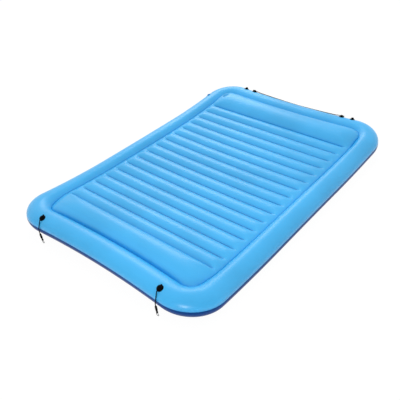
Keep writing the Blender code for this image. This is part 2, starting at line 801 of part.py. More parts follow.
def make_head_end(rim_top, angle):
    """The head end's outer eyes, and the inner pair that holds the grab rope."""
    eye_x = HALF_WIDTH - EYE_FROM_SIDE
    knot_reach = EYE_BOSS_RADIUS + FIT_GAP + KNOT_RADIUS
    for side, sign in (("left", -1), ("right", 1)):
        outer = eye_frame(rim_top, sign * eye_x, 1, angle)
        make_eye(f"head_eye_{side}", outer, math.pi / 2)
        inner = eye_frame(rim_top, sign * (eye_x - EYE_SPACING), 1, angle)
        make_eye(f"rope_eye_{side}", inner, math.pi / 2)
        make_knot(f"rope_knot_{side}", inner, (-sign * knot_reach, 0))
    wire("grab_rope", smooth_route(ROPE_ROUTE), CORD_RADIUS, CORD_BLACK)


def make_valves(rim_top, deck_top, angle):
    """The deck's valve in its far left corner, and the rim's beside it."""
    x, y = DECK_VALVE_FROM_SIDE - HALF_WIDTH, HALF_LENGTH - DECK_VALVE_FROM_END
    target = lifted(x, y, SEAM_HEIGHT + PILLOW_BULGE)
    deck_frame = seat_frame(deck_top, target)
    y = HALF_LENGTH - RIM_VALVE_FROM_END
    stations = ring(RIM_HALF_WIDTH * (1 - math.cos(angle)))
    height = RIM_CENTRE_Z + RIM_HALF_HEIGHT * math.sin(angle)
    rim_frame = seat_frame(rim_top, lifted(-crossing(stations, 1, y), y, height))
    make_valve("deck_valve", deck_top, deck_frame)
    make_valve("rim_valve", rim_top, rim_frame)


clear_scene()
MAT = new_collection("Pool Air Mattress")
CUTTERS = new_collection("Cutters")
SKY_BLUE = new_material("Sky blue PVC", (0.10, 0.42, 0.83), 0.42)
NAVY = new_material("Navy PVC", (0.02, 0.06, 0.28), 0.42)
CLEAR_BLUE = new_material("Inner PVC", (0.55, 0.72, 0.85), 0.5)
RUBBER_BLACK = new_material("Black rubber", (0.01, 0.01, 0.012), 0.55)
CORD_BLACK = new_material("Black cord", (0.012, 0.012, 0.014), 0.8)
PLASTIC_BLACK = new_material("Black plastic", (0.015, 0.015, 0.017), 0.4)
STEEL = new_material("Polished steel", (0.72, 0.72, 0.72), 0.2, 1.0)
VALVE_BLUE = new_material("Valve blue", (0.03, 0.16, 0.45), 0.4)

OUTLINE = outline()
rim_top_object, rim_angles = make_rim()
make_band()
deck_top_object, deck_edge = make_deck()
make_beams(deck_edge)
eye_angle = (rim_angles[EYE_FACET] + rim_angles[EYE_FACET + 1]) / 2
valve_angle = (rim_angles[VALVE_FACET] + rim_angles[VALVE_FACET + 1]) / 2
make_tethers(rim_top_object, eye_angle)
make_head_end(rim_top_object, eye_angle)
make_valves(rim_top_object, deck_top_object, valve_angle)
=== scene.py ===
"""Looks of an inflatable pool mattress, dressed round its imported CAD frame.

Metres, in the CAD's own frame: the mat lies along Y with its foot end at -Y, on a floor at Z = 0.
"""

from __future__ import annotations

import json
import logging
import math
from collections.abc import Callable, Iterable, Sequence
from dataclasses import dataclass
from enum import Enum

import bpy
import numpy as np
from mathutils import Matrix, Vector
from mathutils.bvhtree import BVHTree
from mathutils.geometry import interpolate_bezier

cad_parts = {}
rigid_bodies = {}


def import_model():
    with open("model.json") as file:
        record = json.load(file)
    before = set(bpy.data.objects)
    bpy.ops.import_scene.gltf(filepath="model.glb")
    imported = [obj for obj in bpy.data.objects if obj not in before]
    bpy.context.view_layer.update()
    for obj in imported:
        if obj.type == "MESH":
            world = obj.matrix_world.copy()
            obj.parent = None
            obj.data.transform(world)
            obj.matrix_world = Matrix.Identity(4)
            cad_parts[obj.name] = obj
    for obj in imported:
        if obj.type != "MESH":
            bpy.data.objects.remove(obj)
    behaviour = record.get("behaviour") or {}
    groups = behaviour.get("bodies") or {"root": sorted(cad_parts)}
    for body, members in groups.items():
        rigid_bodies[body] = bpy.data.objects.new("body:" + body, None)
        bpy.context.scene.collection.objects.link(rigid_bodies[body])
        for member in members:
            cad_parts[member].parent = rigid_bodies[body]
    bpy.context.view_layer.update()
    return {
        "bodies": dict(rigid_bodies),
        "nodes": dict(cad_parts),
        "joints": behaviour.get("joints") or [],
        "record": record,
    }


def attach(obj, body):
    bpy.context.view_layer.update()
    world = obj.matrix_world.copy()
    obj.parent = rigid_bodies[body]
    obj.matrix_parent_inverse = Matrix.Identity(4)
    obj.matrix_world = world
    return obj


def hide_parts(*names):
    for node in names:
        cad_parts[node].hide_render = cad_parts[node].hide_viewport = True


LOG = logging.getLogger("mat")
MERGE = 1e-6
HIT_HEIGHT = 0.05
TURN = 2 * math.pi
SIDES = (("left", -1), ("right", 1))
Point = tuple[float, float, float]
Colour = tuple[float, float, float]
Pair = tuple[float, float]
Piece = bpy.types.Object


# Shader writing


class Term:
    """An output socket that takes part in shader maths."""

    def __init__(self, wiring: Wiring, socket: bpy.types.NodeSocket) -> None:
        """Keeps the socket and the wiring that adds nodes behind it."""
        self.wiring = wiring
        self.socket = socket

    def _maths(self, operation: str, *values: Term | float) -> Term:
        """Adds one Math node and returns its result."""
        return self.wiring.node("Math", dict(enumerate(values)), operation=operation)

    def __add__(self, other: Term | float) -> Term:
        """Sum."""
        return self._maths("ADD", self, other)

    __radd__ = __add__

    def __sub__(self, other: Term | float) -> Term:
        """Difference."""
        return self._maths("SUBTRACT", self, other)

    def __rsub__(self, other: float) -> Term:
        """Difference, from a number."""
        return self._maths("SUBTRACT", other, self)

    def __mul__(self, other: Term | float) -> Term:
        """Product."""
        return self._maths("MULTIPLY", self, other)

    __rmul__ = __mul__

    def sine(self) -> Term:
        """Sine of an angle in radians."""
        return self._maths("SINE", self)

    def larger(self, other: Term | float) -> Term:
        """The larger of two values."""
        return self._maths("MAXIMUM", self, other)

    def between(self, low: float, high: float) -> Term:
        """0 up to low, 1 from high, and smooth between."""
        values = {"Value": self, "From Min": low, "From Max": high}
        return self.wiring.node("MapRange", values, interpolation_type="SMOOTHSTEP")


@dataclass(frozen=True)
class Pattern:
    """Soft noise: waves in a metre, finer layers, stretch, and the span that it is cut to."""

    scale: float
    detail: float
    stretch: Point = (1, 1, 1)
    span: Pair | None = None


class Wiring:
    """Adds nodes to the tree of one material or world."""

    def __init__(self, block: bpy.types.Material | bpy.types.World) -> None:
        """Starts with an empty tree.

        Args:
            block: the material or world.
        """
        block.use_nodes = True
        self.tree = block.node_tree
        self.tree.nodes.clear()

    def node(
        self,
        kind: str,
        values: dict[str | int, object] | None = None,
        output: str | int = 0,
        **settings: object,
    ) -> Term | None:
        """Adds one node.

        Args:
            kind: the node's type, without the ShaderNode that all types start with.
            values: values or terms of its inputs, by name or number.
            output: the name or number of the output to return.
            settings: its own properties, set before its inputs.

        Returns:
            That output as a term, or None where the node has no output.
        """
        node = self.tree.nodes.new(f"ShaderNode{kind}")
        for name, value in settings.items():
            setattr(node, name, value)
        for key, value in (values or {}).items():
            socket = node.inputs[key]
            if isinstance(value, Term):
                self.tree.links.new(value.socket, socket)
            else:
                socket.default_value = (*value, 1) if socket.type == "RGBA" else value
        return Term(self, node.outputs[output]) if node.outputs else None

    def noise(self, pattern: Pattern) -> Term:
        """Soft noise from 0 to 1 on the object's own coordinates.

        Args:
            pattern: its sizes.

        Returns:
            The noise as a term.
        """
        spot = self.node("TexCoord", output="Object")
        where = self.node("Mapping", {"Vector": spot, "Scale": pattern.stretch})
        values = {"Vector": where, "Scale": pattern.scale, "Detail": pattern.detail}
        noise = self.node("TexNoise", values)
        return noise.between(*pattern.span) if pattern.span else noise

    def mix(self, share: Term | float, low: Term | Colour, high: Term | Colour) -> Term:
        """A colour between two, the first at a share of 0 and the second at 1."""
        return self.node("Mix", {0: share, 6: low, 7: high}, 2, data_type="RGBA")

    def bump(self, height: Term, distance: float, under: Term | None = None) -> Term:
        """A normal bent by a height.

        Args:
            height: the height, about 0 to 1.
            distance: what a height of 1 is, in metres.
            under: a bump below this one.

        Returns:
            The bent normal.
        """
        values = {"Height": height, "Distance": distance, "Strength": 1.0}
        if under is not None:
            values["Normal"] = under
        return self.node("Bump", values)

    def seen(self) -> Term:
        """1 for the rays of the camera, of gloss and of glass, 0 for those that only light.

        Returns:
            The share as a term.
        """
        kinds = ("Camera", "Glossy", "Transmission")
        first, second, third = (self.node("LightPath", output=f"Is {kind} Ray") for kind in kinds)
        return first.larger(second).larger(third)


def from_screen(*values: int) -> Colour:
    """A linear colour from its red, green and blue on a screen, 0 to 255."""
    shares = (value / 255 for value in values)
    return tuple(s / 12.92 if s <= 0.04045 else ((s + 0.055) / 1.055) ** 2.4 for s in shares)


def tinted(colour: Colour, gain: float, lift: float = 0) -> Colour:
    """A darker or paler shade of a colour."""
    return tuple(min(1, value * gain + lift) for value in colour)


@dataclass(frozen=True)
class Finish:
    """A finish with a name, a slot of the record and the sockets of its shader.

    Its name differs from every slot's, because the frame has a plain material of each slot's name.
    """

    name: str
    slot: str

    def sockets(self, wiring: Wiring) -> dict[str, object]:
        """Values and terms of the shader's sockets."""
        raise NotImplementedError

    def made(self) -> bpy.types.Material:
        """Makes the finish once, and finds it again after that.

        Returns:
            The finish as a material.
        """
        material = bpy.data.materials.get(self.name)
        if material is None:
            material = bpy.data.materials.new(self.name)
            wiring = Wiring(material)
            shader = wiring.node("BsdfPrincipled", self.sockets(wiring))
            wiring.node("OutputMaterial", {"Surface": shader})
        return material


@dataclass(frozen=True)
class SheetVinyl(Finish):
    """Welded PVC sheet: a fine pressed grain, faint clouding, scuffs, and darker welds, partly
    their own tone and partly painted shade.
    """

    colour: Colour
    weld_and_shade_colour: Colour
    shine: float = 0.5
    ior: float = 1.52
    cloud: Pattern = Pattern(2.2, 3, span=(0.3, 0.7))
    grain: Pattern = Pattern(620, 3)
    ripple: Pattern = Pattern(11, 1)
    scuff: Pattern = Pattern(38, 4, (1, 0.35, 1), (0.52, 0.75))
    deep_gain: float = 0.95
    pale_gain: float = 1.06
    pale_lift: float = 0.004
    grain_depth: float = 0.00009
    ripple_depth: float = 0.0003
    roughness: float = 0.27
    grain_roughness: float = 0.08
    scuff_roughness: float = 0.06
    weld_gloss: float = 0.05

    def sockets(self, wiring: Wiring) -> dict[str, object]:
        """Colour clouds over the sheet, and the welds are glossier and darker, partly their own
        tone and partly painted shade of seams and creases.

        Args:
            wiring: the material's wiring.

        Returns:
            The sockets' values and terms, by name.
        """
        # The welds' mask: where it is set, the colour turns to the darker one, the welds' own tone
        # with painted shade of the seam valleys and the rim's crease.
        weld_and_shade = wiring.node("Attribute", output="Fac", attribute_name="weld_and_shade")
        deep = tinted(self.colour, self.deep_gain)
        pale = tinted(self.colour, self.pale_gain, self.pale_lift)
        sheet = wiring.mix(wiring.noise(self.cloud), deep, pale)
        grain = wiring.noise(self.grain)
        ripple = wiring.bump(wiring.noise(self.ripple), self.ripple_depth)
        scuff = wiring.noise(self.scuff) * self.scuff_roughness
        rough = grain * self.grain_roughness + (scuff + self.roughness)
        return {
            "Base Color": wiring.mix(weld_and_shade, sheet, self.weld_and_shade_colour),
            "Roughness": rough - weld_and_shade * self.weld_gloss,
            "Normal": wiring.bump(grain, self.grain_depth, ripple),
            "IOR": self.ior,
            "Specular IOR Level": self.shine,
        }


@dataclass(frozen=True)
class InnerVinyl(Finish):
    """Milky sheet inside the mat."""

    colour: Colour
    cloud: Pattern = Pattern(6, 3)
    grain: Pattern = Pattern(300, 2)
    deep_gain: float = 0.85
    roughness: float = 0.35
    cloud_roughness: float = 0.2
    grain_depth: float = 0.00005

    def sockets(self, wiring: Wiring) -> dict[str, object]:
        """A pale sheet with a soft cloud in it.

        Args:
            wiring: the material's wiring.

        Returns:
            The sockets' values and terms, by name.
        """
        cloud = wiring.noise(self.cloud)
        return {
            "Base Color": wiring.mix(cloud, tinted(self.colour, self.deep_gain), self.colour),
            "Roughness": cloud * self.cloud_roughness + self.roughness,
            "Normal": wiring.bump(wiring.noise(self.grain), self.grain_depth),
        }


@dataclass(frozen=True)
class Moulding(Finish):
    """Moulded rubber, vinyl or plastic, with a fine skin and paler rubbed spots."""

    colour: Colour
    rubbed: Colour
    roughness: float
    shine: float = 0.03
    grain: Pattern = Pattern(1500, 3)
    grain_depth: float = 0.00004
    grain_roughness: float = 0.1
    worn: Pattern = Pattern(160, 4, span=(0.45, 0.8))
    worn_share: float = 0.6
    worn_roughness: float = 0.08

    def sockets(self, wiring: Wiring) -> dict[str, object]:
        """Colour and gloss change a little from place to place.

        Args:
            wiring: the material's wiring.

        Returns:
            The sockets' values and terms, by name.
        """
        grain, worn = wiring.noise(self.grain), wiring.noise(self.worn)
        rough = grain * self.grain_roughness + self.roughness + worn * self.worn_roughness
        return {
            "Base Color": wiring.mix(worn * self.worn_share, self.colour, self.rubbed),
            "Roughness": rough,
            "Normal": wiring.bump(grain, self.grain_depth),
            "Specular IOR Level": self.shine,
        }


@dataclass(frozen=True)
class Braid(Finish):
    """Braided cord: crossing strands that follow the cord, from its UV map."""

    length: float
    colour: Colour = (0.002, 0.002, 0.0025)
    lit: Colour = (0.012, 0.012, 0.014)
    lit_from: float = 0.35
    strands: int = 8
    pitch: float = 0.009
    depth: float = 0.0007
    roughness: float = 0.86
    crest_gloss: float = 0.14
    shine: float = 0.03

    def sockets(self, wiring: Wiring) -> dict[str, object]:
        """Two sets of strands wind round the cord in opposite ways.

        Args:
            wiring: the material's wiring.

        Returns:
            The sockets' values and terms, by name.
        """
        spot = wiring.node("UVMap", uv_map="along")
        along, round_it = (wiring.node("SeparateXYZ", {0: spot}, axis) for axis in (0, 1))
        lengthwise = along * (TURN * self.length / self.pitch)
        crosswise = round_it * (TURN * self.strands / 2)
        first = (lengthwise + crosswise).sine()
        second = (lengthwise - crosswise).sine()
        height = first.larger(second) * 0.5 + 0.5
        return {
            "Base Color": wiring.mix(height.between(self.lit_from, 1), self.colour, self.lit),
            "Roughness": self.roughness - height * self.crest_gloss,
            "Normal": wiring.bump(height, self.depth),
            "Specular IOR Level": self.shine,
        }


@dataclass(frozen=True)
class Steel(Finish):
    """Polished wire with faint scratches."""

    colour: Colour
    dull_gain: float = 0.86
    scratch: Pattern = Pattern(900, 2, (1, 1, 0.08))
    scratch_span: Pair = (0.3, 0.8)
    scratch_depth: float = 0.00002
    roughness: float = 0.12
    scratch_roughness: float = 0.16

    def sockets(self, wiring: Wiring) -> dict[str, object]:
        """Scratches run along the wire's drop and change its gloss.

        Args:
            wiring: the material's wiring.

        Returns:
            The sockets' values and terms, by name.
        """
        scratch = wiring.noise(self.scratch)
        dull = tinted(self.colour, self.dull_gain)
        return {
            "Base Color": wiring.mix(scratch.between(*self.scratch_span), self.colour, dull),
            "Metallic": 1.0,
            "Roughness": scratch * self.scratch_roughness + self.roughness,
            "Normal": wiring.bump(scratch, self.scratch_depth),
        }


# Each sheet's second colour, for its welds, is the blue of a shaded crease: partly the welds' own
# tone, partly painted shade.
SKY = SheetVinyl("sky_blue_sheet", "sky_pvc", from_screen(53, 176, 238), from_screen(30, 137, 208))
NAVY = SheetVinyl(
    "navy_sheet", "navy_pvc", from_screen(2, 61, 128), from_screen(2, 42, 92), shine=0.06
)
INNER = InnerVinyl("inner_sheet", "inner_pvc", (0.55, 0.72, 0.85))
RUBBER = Moulding(
    "matt_rubber", "black_rubber", (0.002, 0.002, 0.0025), (0.006, 0.006, 0.007), 0.37
)
PLASTIC = Moulding(
    "black_moulding", "black_plastic", (0.003, 0.003, 0.003), (0.01, 0.01, 0.01), 0.33
)
SEAT_VINYL = Moulding(
    "valve_seat_vinyl", "valve_vinyl", from_screen(58, 172, 236), from_screen(80, 186, 242), 0.37
)
CAP_VINYL = Moulding(
    "valve_cap_vinyl", "valve_vinyl", from_screen(44, 128, 194), from_screen(60, 146, 210), 0.37
)
STEEL = Steel("dark_steel", "polished_steel", (0.085, 0.087, 0.092))


# Working with Blender's operators


def only(*objects: Piece) -> None:
    """Selects these objects alone and makes the first one active.

    Args:
        objects: the objects to select.
    """
    bpy.ops.object.select_all(action="DESELECT")
    for obj in objects:
        obj.select_set(True)
    bpy.context.view_layer.objects.active = objects[0]


def primitive(kind: str, name: str, **settings: object) -> Piece:
    """Adds one of Blender's mesh primitives.

    Args:
        kind: the primitive's name in its operator.
        name: the new object's name.
        settings: the operator's own settings.

    Returns:
        The new object, selected alone.
    """
    bpy.ops.object.select_all(action="DESELECT")
    getattr(bpy.ops.mesh, f"primitive_{kind}_add")(**settings)
    obj = bpy.context.object
    obj.name = obj.data.name = name
    return obj


def apply_modifier(obj: Piece, kind: str, **settings: object) -> None:
    """Adds a modifier and applies it.

    Args:
        obj: the object to change.
        kind: the modifier's type.
        settings: the modifier's own settings.
    """
    modifier = obj.modifiers.new(kind.title(), kind)
    for name, value in settings.items():
        setattr(modifier, name, value)
    only(obj)
    bpy.ops.object.modifier_apply(modifier=modifier.name)


def round_edges(obj: Piece, width: float, angle: float = math.radians(30)) -> None:
    """Rounds the edges that are sharper than an angle."""
    settings = {"segments": 2, "limit_method": "ANGLE", "angle_limit": angle}
    apply_modifier(obj, "BEVEL", width=width, **settings)


def cut(obj: Piece, tool: Piece, place: Matrix) -> None:
    """Cuts a solid with another one, which is used up.

    Args:
        obj: the solid to cut.
        tool: the solid to take away.
        place: where the tool goes.
    """
    tool.data.transform(place)
    apply_modifier(obj, "BOOLEAN", operation="DIFFERENCE", solver="EXACT", object=tool)
    bpy.data.objects.remove(tool, do_unlink=True)


def edit(obj: Piece, *steps: Callable[[], object], select_all: bool = True) -> None:
    """Runs steps in edit mode on the whole mesh, or on what is selected already.

    Args:
        obj: the object to edit.
        steps: the operators to run, in order.
        select_all: whether all of the mesh is selected first.
    """
    only(obj)
    bpy.ops.object.mode_set(mode="EDIT")
    if select_all:
        bpy.ops.mesh.select_all(action="SELECT")
    for step in steps:
        step()
    bpy.ops.object.mode_set(mode="OBJECT")


def merge_doubles() -> None:
    """Merges points that lie on each other."""
    bpy.ops.mesh.remove_doubles(threshold=MERGE)


def face_outwards() -> None:
    """Turns every face outwards."""
    bpy.ops.mesh.normals_make_consistent(inside=False)


def points_of(obj: Piece) -> np.ndarray:
    """The mesh's points.

    Args:
        obj: the object with the mesh.

    Returns:
        The points as rows of X, Y, Z.
    """
    flat = np.empty(len(obj.data.vertices) * 3)
    obj.data.vertices.foreach_get("co", flat)
    return flat.reshape(-1, 3)


def move_points(obj: Piece, points: np.ndarray) -> None:
    """Puts the mesh's points at new places."""
    obj.data.vertices.foreach_set("co", np.ascontiguousarray(points).ravel())
    obj.data.update()


def settle(obj: Piece, place: Matrix, angle: float) -> Piece:
    """Puts a mesh at its place, smooths its faces and clears its object's own place.

    Args:
        obj: the object to finish.
        place: where the mesh goes.
        angle: edges sharper than this, in degrees, stay sharp.

    Returns:
        The same object.
    """
    obj.data.transform(obj.matrix_basis)
    obj.data.transform(place)
    obj.matrix_world = Matrix()
    only(obj)
    bpy.ops.object.shade_smooth_by_angle(angle=math.radians(angle))
    return obj


def drawn(name: str, points: Sequence[Sequence[float]], closed: bool = False) -> Piece:
    """A chain of edges through points, made by pulling one vertex along.

    Args:
        name: the object's name.
        points: the chain's points.
        closed: whether the last point is joined to the first.

    Returns:
        The chain.
    """
    obj = primitive("plane", name)
    places = [Vector(point) for point in points]
    bpy.ops.object.mode_set(mode="EDIT")
    bpy.context.tool_settings.mesh_select_mode = (True, False, False)
    bpy.ops.mesh.select_all(action="SELECT")
    bpy.ops.mesh.merge(type="CENTER")
    bpy.ops.transform.translate(value=places[0])
    for before, after in zip(places, places[1:]):
        bpy.ops.mesh.extrude_region_move(TRANSFORM_OT_translate={"value": after - before})
    bpy.ops.mesh.select_all(action="DESELECT")
    bpy.ops.object.mode_set(mode="OBJECT")
    if closed:
        for index in (0, len(places) - 1):
            obj.data.vertices[index].select = True
        edit(obj, bpy.ops.mesh.edge_face_add, select_all=False)
    return obj


def turned(name: str, profile: Sequence[Pair], steps: int) -> Piece:
    """A solid spun round Z.

    Args:
        name: the object's name.
        profile: radii and heights, from pole to pole, or a closed outline off the axis.
        steps: how many flat sides a turn has.

    Returns:
        The solid, at the origin.
    """
    points = [(radius, 0, height) for radius, height in profile]
    obj = drawn(name, points, closed=profile[0][0] > 0)
    spin = {"steps": steps, "angle": TURN, "center": (0, 0, 0), "axis": (0, 0, 1)}
    edit(
        obj,
        lambda: bpy.ops.mesh.spin(**spin),
        lambda: bpy.ops.mesh.select_all(action="SELECT"),
        merge_doubles,
        face_outwards,
    )
    return obj


def tube(name: str, line: Sequence[Vector], radius: float, resolution: int) -> Piece:
    """A round tube along a line, with closed ends, as a mesh with a UV map along it.

    Args:
        name: the object's name.
        line: the points of its middle.
        radius: its radius.
        resolution: how finely it is rounded.

    Returns:
        The tube, at the origin.
    """
    bpy.ops.object.select_all(action="DESELECT")
    bpy.ops.curve.primitive_bezier_circle_add()
    obj = bpy.context.object
    obj.name = name
    curve = obj.data
    curve.splines.clear()
    spline = curve.splines.new("POLY")
    spline.points.add(len(line) - 1)
    for point, spot in zip(spline.points, line):
        point.co = (*spot, 1)
    curve.dimensions = "3D"
    curve.bevel_depth = radius
    curve.bevel_resolution = resolution
    curve.use_fill_caps = True
    bpy.ops.object.convert(target="MESH")
    obj = bpy.context.object
    for layer in obj.data.uv_layers:
        layer.name = "along"
    edit(obj, merge_doubles, face_outwards)
    return obj


def smooth_line(route: Sequence[Point], spacing: float) -> list[Vector]:
    """Points along a smooth curve through a route's own points.

    Args:
        route: the points that it passes through.
        spacing: about how far apart its points are.

    Returns:
        The points.
    """
    points = [Vector(point) for point in route]
    around = zip((points[0], *points), (*points[1:], points[-1]))
    slopes = [(after - before).normalized() for before, after in around]
    line = [points[0]]
    for start, end, leaving, meeting in zip(points, points[1:], slopes, slopes[1:]):
        reach = (end - start).length / 3
        steps = max(1, round((end - start).length / spacing))
        handles = (start, start + leaving * reach, end - meeting * reach, end)
        line += interpolate_bezier(*handles, steps + 1)[1:]
    return line


def smoothstep(value: np.ndarray | float, low: float, high: float) -> np.ndarray:
    """0 up to low, 1 from high, and smooth between."""
    share = np.clip((np.asarray(value, float) - low) / (high - low), 0, 1)
    return share * share * (3 - 2 * share)


def arc_share(share: np.ndarray) -> np.ndarray:
    """Height of a bulging sheet between two seams, as a share of its crest."""
    return 4 * share * (1 - share)


def dress(obj: Piece, finish: Finish, body: str = "mat", stands_for: Iterable[str] = ()) -> Piece:
    """Gives a piece its finish, sets it on its body and hides what it stands for.

    Args:
        obj: the piece.
        finish: its finish.
        body: the CAD body that it moves with.
        stands_for: the CAD nodes that it replaces.

    Returns:
        The same piece.
    """
    obj.data.materials.clear()
    obj.data.materials.append(finish.made())
    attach(obj, body)
    if stands_for:
        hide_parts(*stands_for)
    LOG.info("%s: %d faces on %s", obj.name, len(obj.data.polygons), body)
    return obj


# Seats, on which the fittings are welded


@dataclass(frozen=True)
class Seat:
    """A place on a skin, with Z out of the skin and X level, and the flat pressed round it."""

    place: Point
    out: Point
    flat: float = 0.019
    reach: float = 0.034
    lift: float = 0.0003

    def matrix(self) -> Matrix:
        """The seat's frame.

        Returns:
            The frame as a matrix.
        """
        out = Vector(self.out).normalized()
        level = Vector((0, 0, 1)).cross(out).normalized()
        turn = Matrix((level, out.cross(level), out)).transposed().to_4x4()
        return Matrix.Translation(self.place) @ turn

    def pressed(self, places: np.ndarray) -> np.ndarray:
        """Flattens a skin where a valve is welded on it.

        Args:
            places: the skin's rows by columns by three numbers.

        Returns:
            The changed places.
        """
        frame = np.array(self.matrix())
        turn, origin = frame[:3, :3], frame[:3, 3]
        local = (places.reshape(-1, 3) - origin) @ turn
        away = np.hypot(local[:, 0], local[:, 1])
        near = np.abs(local[:, 2]) < self.reach
        share = np.where(near, 1 - smoothstep(away, self.flat, self.reach), 0)
        local[:, 2] += (self.lift - local[:, 2]) * share
        return (local @ turn.T + origin).reshape(places.shape)

    def distance(self, spot: Sequence[float]) -> float:
        """How far a point is from the seat's axis."""
        local = self.matrix().inverted() @ Vector(spot)
        return math.hypot(local.x, local.y) if abs(local.z) < HIT_HEIGHT else math.inf


DECK_VALVE_SEAT = Seat((-0.6885, 1.0562, 0.1964), (-0.0684, -0.0553, 0.9961), 0.020, 0.044)
RIM_VALVE_SEAT = Seat((-0.8584, 1.0100, 0.1920), (-0.4504, -0.0763, 0.8896))


# The mat's skins


@dataclass(frozen=True)
class MatShape:
    """Sizes of the whole mat, and the curves that they make."""

    length: float = 2.74
    width: float = 1.83
    side_bow: float = 0.013
    end_bow: float = 0.058
    corner_length: float = 0.303
    flat_length: float = 0.822
    end_rise: float = 0.066
    rim_height: float = 0.178
    rim_width: float = 0.199
    crease_inset: float = 0.166
    band_gap: float = 0.00055
    join_angle: float = math.radians(5.4)
    rest_angle: float = math.radians(8)
    first_seam: float = -0.925
    seam_pitch: float = 1.816 / 15
    seam_count: int = 16
    seam_drop: float = 0.030
    side_dip: float = math.radians(12.5)
    side_pinch: float = 0.20
    side_end: float = 0.93
    corner_turned: float = 1.13
    foot_dip: float = math.radians(23)
    head_dip: float = math.radians(3)
    middle_dip: float = math.radians(3.5)
    dip_middle: float = 0.25
    dip_reach: float = 0.42
    sag: float = 0.021
    sag_middle: float = 0.10
    sag_foot_reach: float = 0.79
    sag_head_reach: float = 0.72
    sag_half_width: float = 0.945
    scallop_depth: float = 0.0018
    scallop_reach: float = 0.030
    scallop_roundness: float = 0.7
    scallop_fade: float = 0.08
    scallop_end: Pair = (0.95, 1.05)
    side_stations: int = 96
    end_stations: int = 64
    corner_stations: int = 30

    @property
    def half_height(self) -> float:
        """Half the height of the rim's oval."""
        return self.rim_height / (1 + math.cos(self.rest_angle))

    @property
    def crease_angle(self) -> float:
        """Angle round the rim's tube at which it meets the deck."""
        return math.acos(1 - (self.crease_inset - self.band_gap) / (self.rim_width / 2))

    @property
    def last_seam(self) -> float:
        """Y of the seam nearest the head."""
        return self.seam(self.seam_count - 1)

    def seam(self, index: int) -> float:
        """Y of one of the deck's seams."""
        return self.first_seam + self.seam_pitch * index

    def _at_end(self, y: np.ndarray) -> np.ndarray:
        """0 beside the mat's long sides, 1 round its ends."""
        return smoothstep(np.abs(y), self.side_end, self.corner_turned)

    def crease_angles(self, y: np.ndarray) -> np.ndarray:
        """Angle at which the rim's upper skin meets the deck.

        Args:
            y: the stations' Y.

        Returns:
            The angle at each station.
        """
        middle = np.exp(-(((y - self.dip_middle) / self.dip_reach) ** 2))
        end_dip = np.where(y < 0, self.foot_dip, self.head_dip)
        dip = self.side_dip + (end_dip - self.side_dip) * self._at_end(y)
        return self.crease_angle + dip + self.middle_dip * middle

    def inset_at(self, angle: np.ndarray | float, y: np.ndarray | None = None) -> np.ndarray:
        """How far inside the outline the rim's oval is at an angle.

        Args:
            angle: the angle round the tube, from its widest line.
            y: the stations' Y for the upper skin, which drops steeply along the sides.

        Returns:
            The insets.
        """
        across = np.cos(angle)
        if y is not None:
            pinch = self.side_pinch * (1 - self._at_end(y))
            across = np.where(across < 0, across * (1 - pinch), across)
        return self.rim_width / 2 * (1 - across)

    def height_at(self, angle: np.ndarray | float) -> np.ndarray:
        """Height on the rim's oval at an angle from its widest line."""
        centre = self.rim_height - self.half_height
        return np.maximum(0, centre + self.half_height * np.sin(angle))

    def rise(self, y: np.ndarray) -> np.ndarray:
        """How far the curl lifts the mat at this distance along it."""
        flat = self.flat_length / 2
        return self.end_rise * np.maximum(0, (np.abs(y) - flat) / (self.length / 2 - flat)) ** 2

    def deck_sag(self, x: np.ndarray, y: np.ndarray) -> np.ndarray:
        """How far the middle of the deck hangs lower than its edges.

        Args:
            x: the places' X.
            y: the places' Y.

        Returns:
            The drop at each place.
        """
        reach = np.where(y < self.sag_middle, self.sag_foot_reach, self.sag_head_reach)
        lengthwise = np.maximum(0, 1 - ((y - self.sag_middle) / reach) ** 2)
        return self.sag * lengthwise * (1 - (x / self.sag_half_width) ** 2)

    def beyond(self, y: np.ndarray) -> np.ndarray:
        """How far a place lies beyond the first or the last seam, negative between them."""
        return np.maximum(self.first_seam - y, y - self.last_seam)

    def scalloped(
        self, x: np.ndarray, y: np.ndarray, seam_y: np.ndarray, from_crease: np.ndarray
    ) -> np.ndarray:
        """Pushes the crease out between the seams and in at them, as the channels' ends do.

        Args:
            x: the places' X.
            y: the places' Y.
            seam_y: the Y that tells how far a place is from a seam.
            from_crease: how far the places are from the crease.

        Returns:
            The places' new X.
        """
        share = ((seam_y - self.first_seam) / self.seam_pitch) % 1
        wave = 2 * arc_share(share) ** self.scallop_roundness - 1
        wave = wave * (1 - smoothstep(self.beyond(seam_y), 0, self.scallop_fade))
        near = np.exp(-((from_crease / self.scallop_reach) ** 2))
        straight = 1 - smoothstep(np.abs(y), *self.scallop_end)
        return x + np.sign(x) * (self.scallop_depth * near * wave * straight)

    def _side(self, start: np.ndarray, end: np.ndarray, bow: float, steps: int) -> list[np.ndarray]:
        """One bowed side of the outline.

        Args:
            start: the corner that it comes from.
            end: the corner that it goes to.
            bow: how far its middle bows inwards.
            steps: its number of steps.

        Returns:
            Its points, and its directions at both ends.
        """
        along = end - start
        inwards = np.array((-along[1], along[0])) / np.linalg.norm(along)
        cut_off = self.corner_length / np.linalg.norm(along)
        shares = np.linspace(cut_off, 1 - cut_off, steps + 1)[:, None]
        points = start + along * shares + inwards * bow * arc_share(shares)
        slopes = along + inwards * bow * 4 * (1 - 2 * shares)
        slopes /= np.linalg.norm(slopes, axis=1)[:, None]
        return [points, slopes[0], slopes[-1]]

    def outline(self) -> np.ndarray:
        """The mat's widest line, anticlockwise from the foot of its right side.

        Returns:
            The line's points as rows of X, Y.
        """
        half = np.array((self.width, self.length)) / 2
        corners = [half * signs for signs in ((1, -1), (1, 1), (-1, 1), (-1, -1))]
        kinds = ((self.side_bow, self.side_stations), (self.end_bow, self.end_stations))
        sides = [self._side(corners[i], corners[(i + 1) % 4], *kinds[i % 2]) for i in range(4)]
        line = []
        for i, (points, _, leaving) in enumerate(sides):
            following, meeting, _ = sides[(i + 1) % 4]
            start, end = points[-1], following[0]
            turn = math.acos(float(leaving @ meeting))
            radius = np.linalg.norm(end - start) / 2 / math.sin(turn / 2)
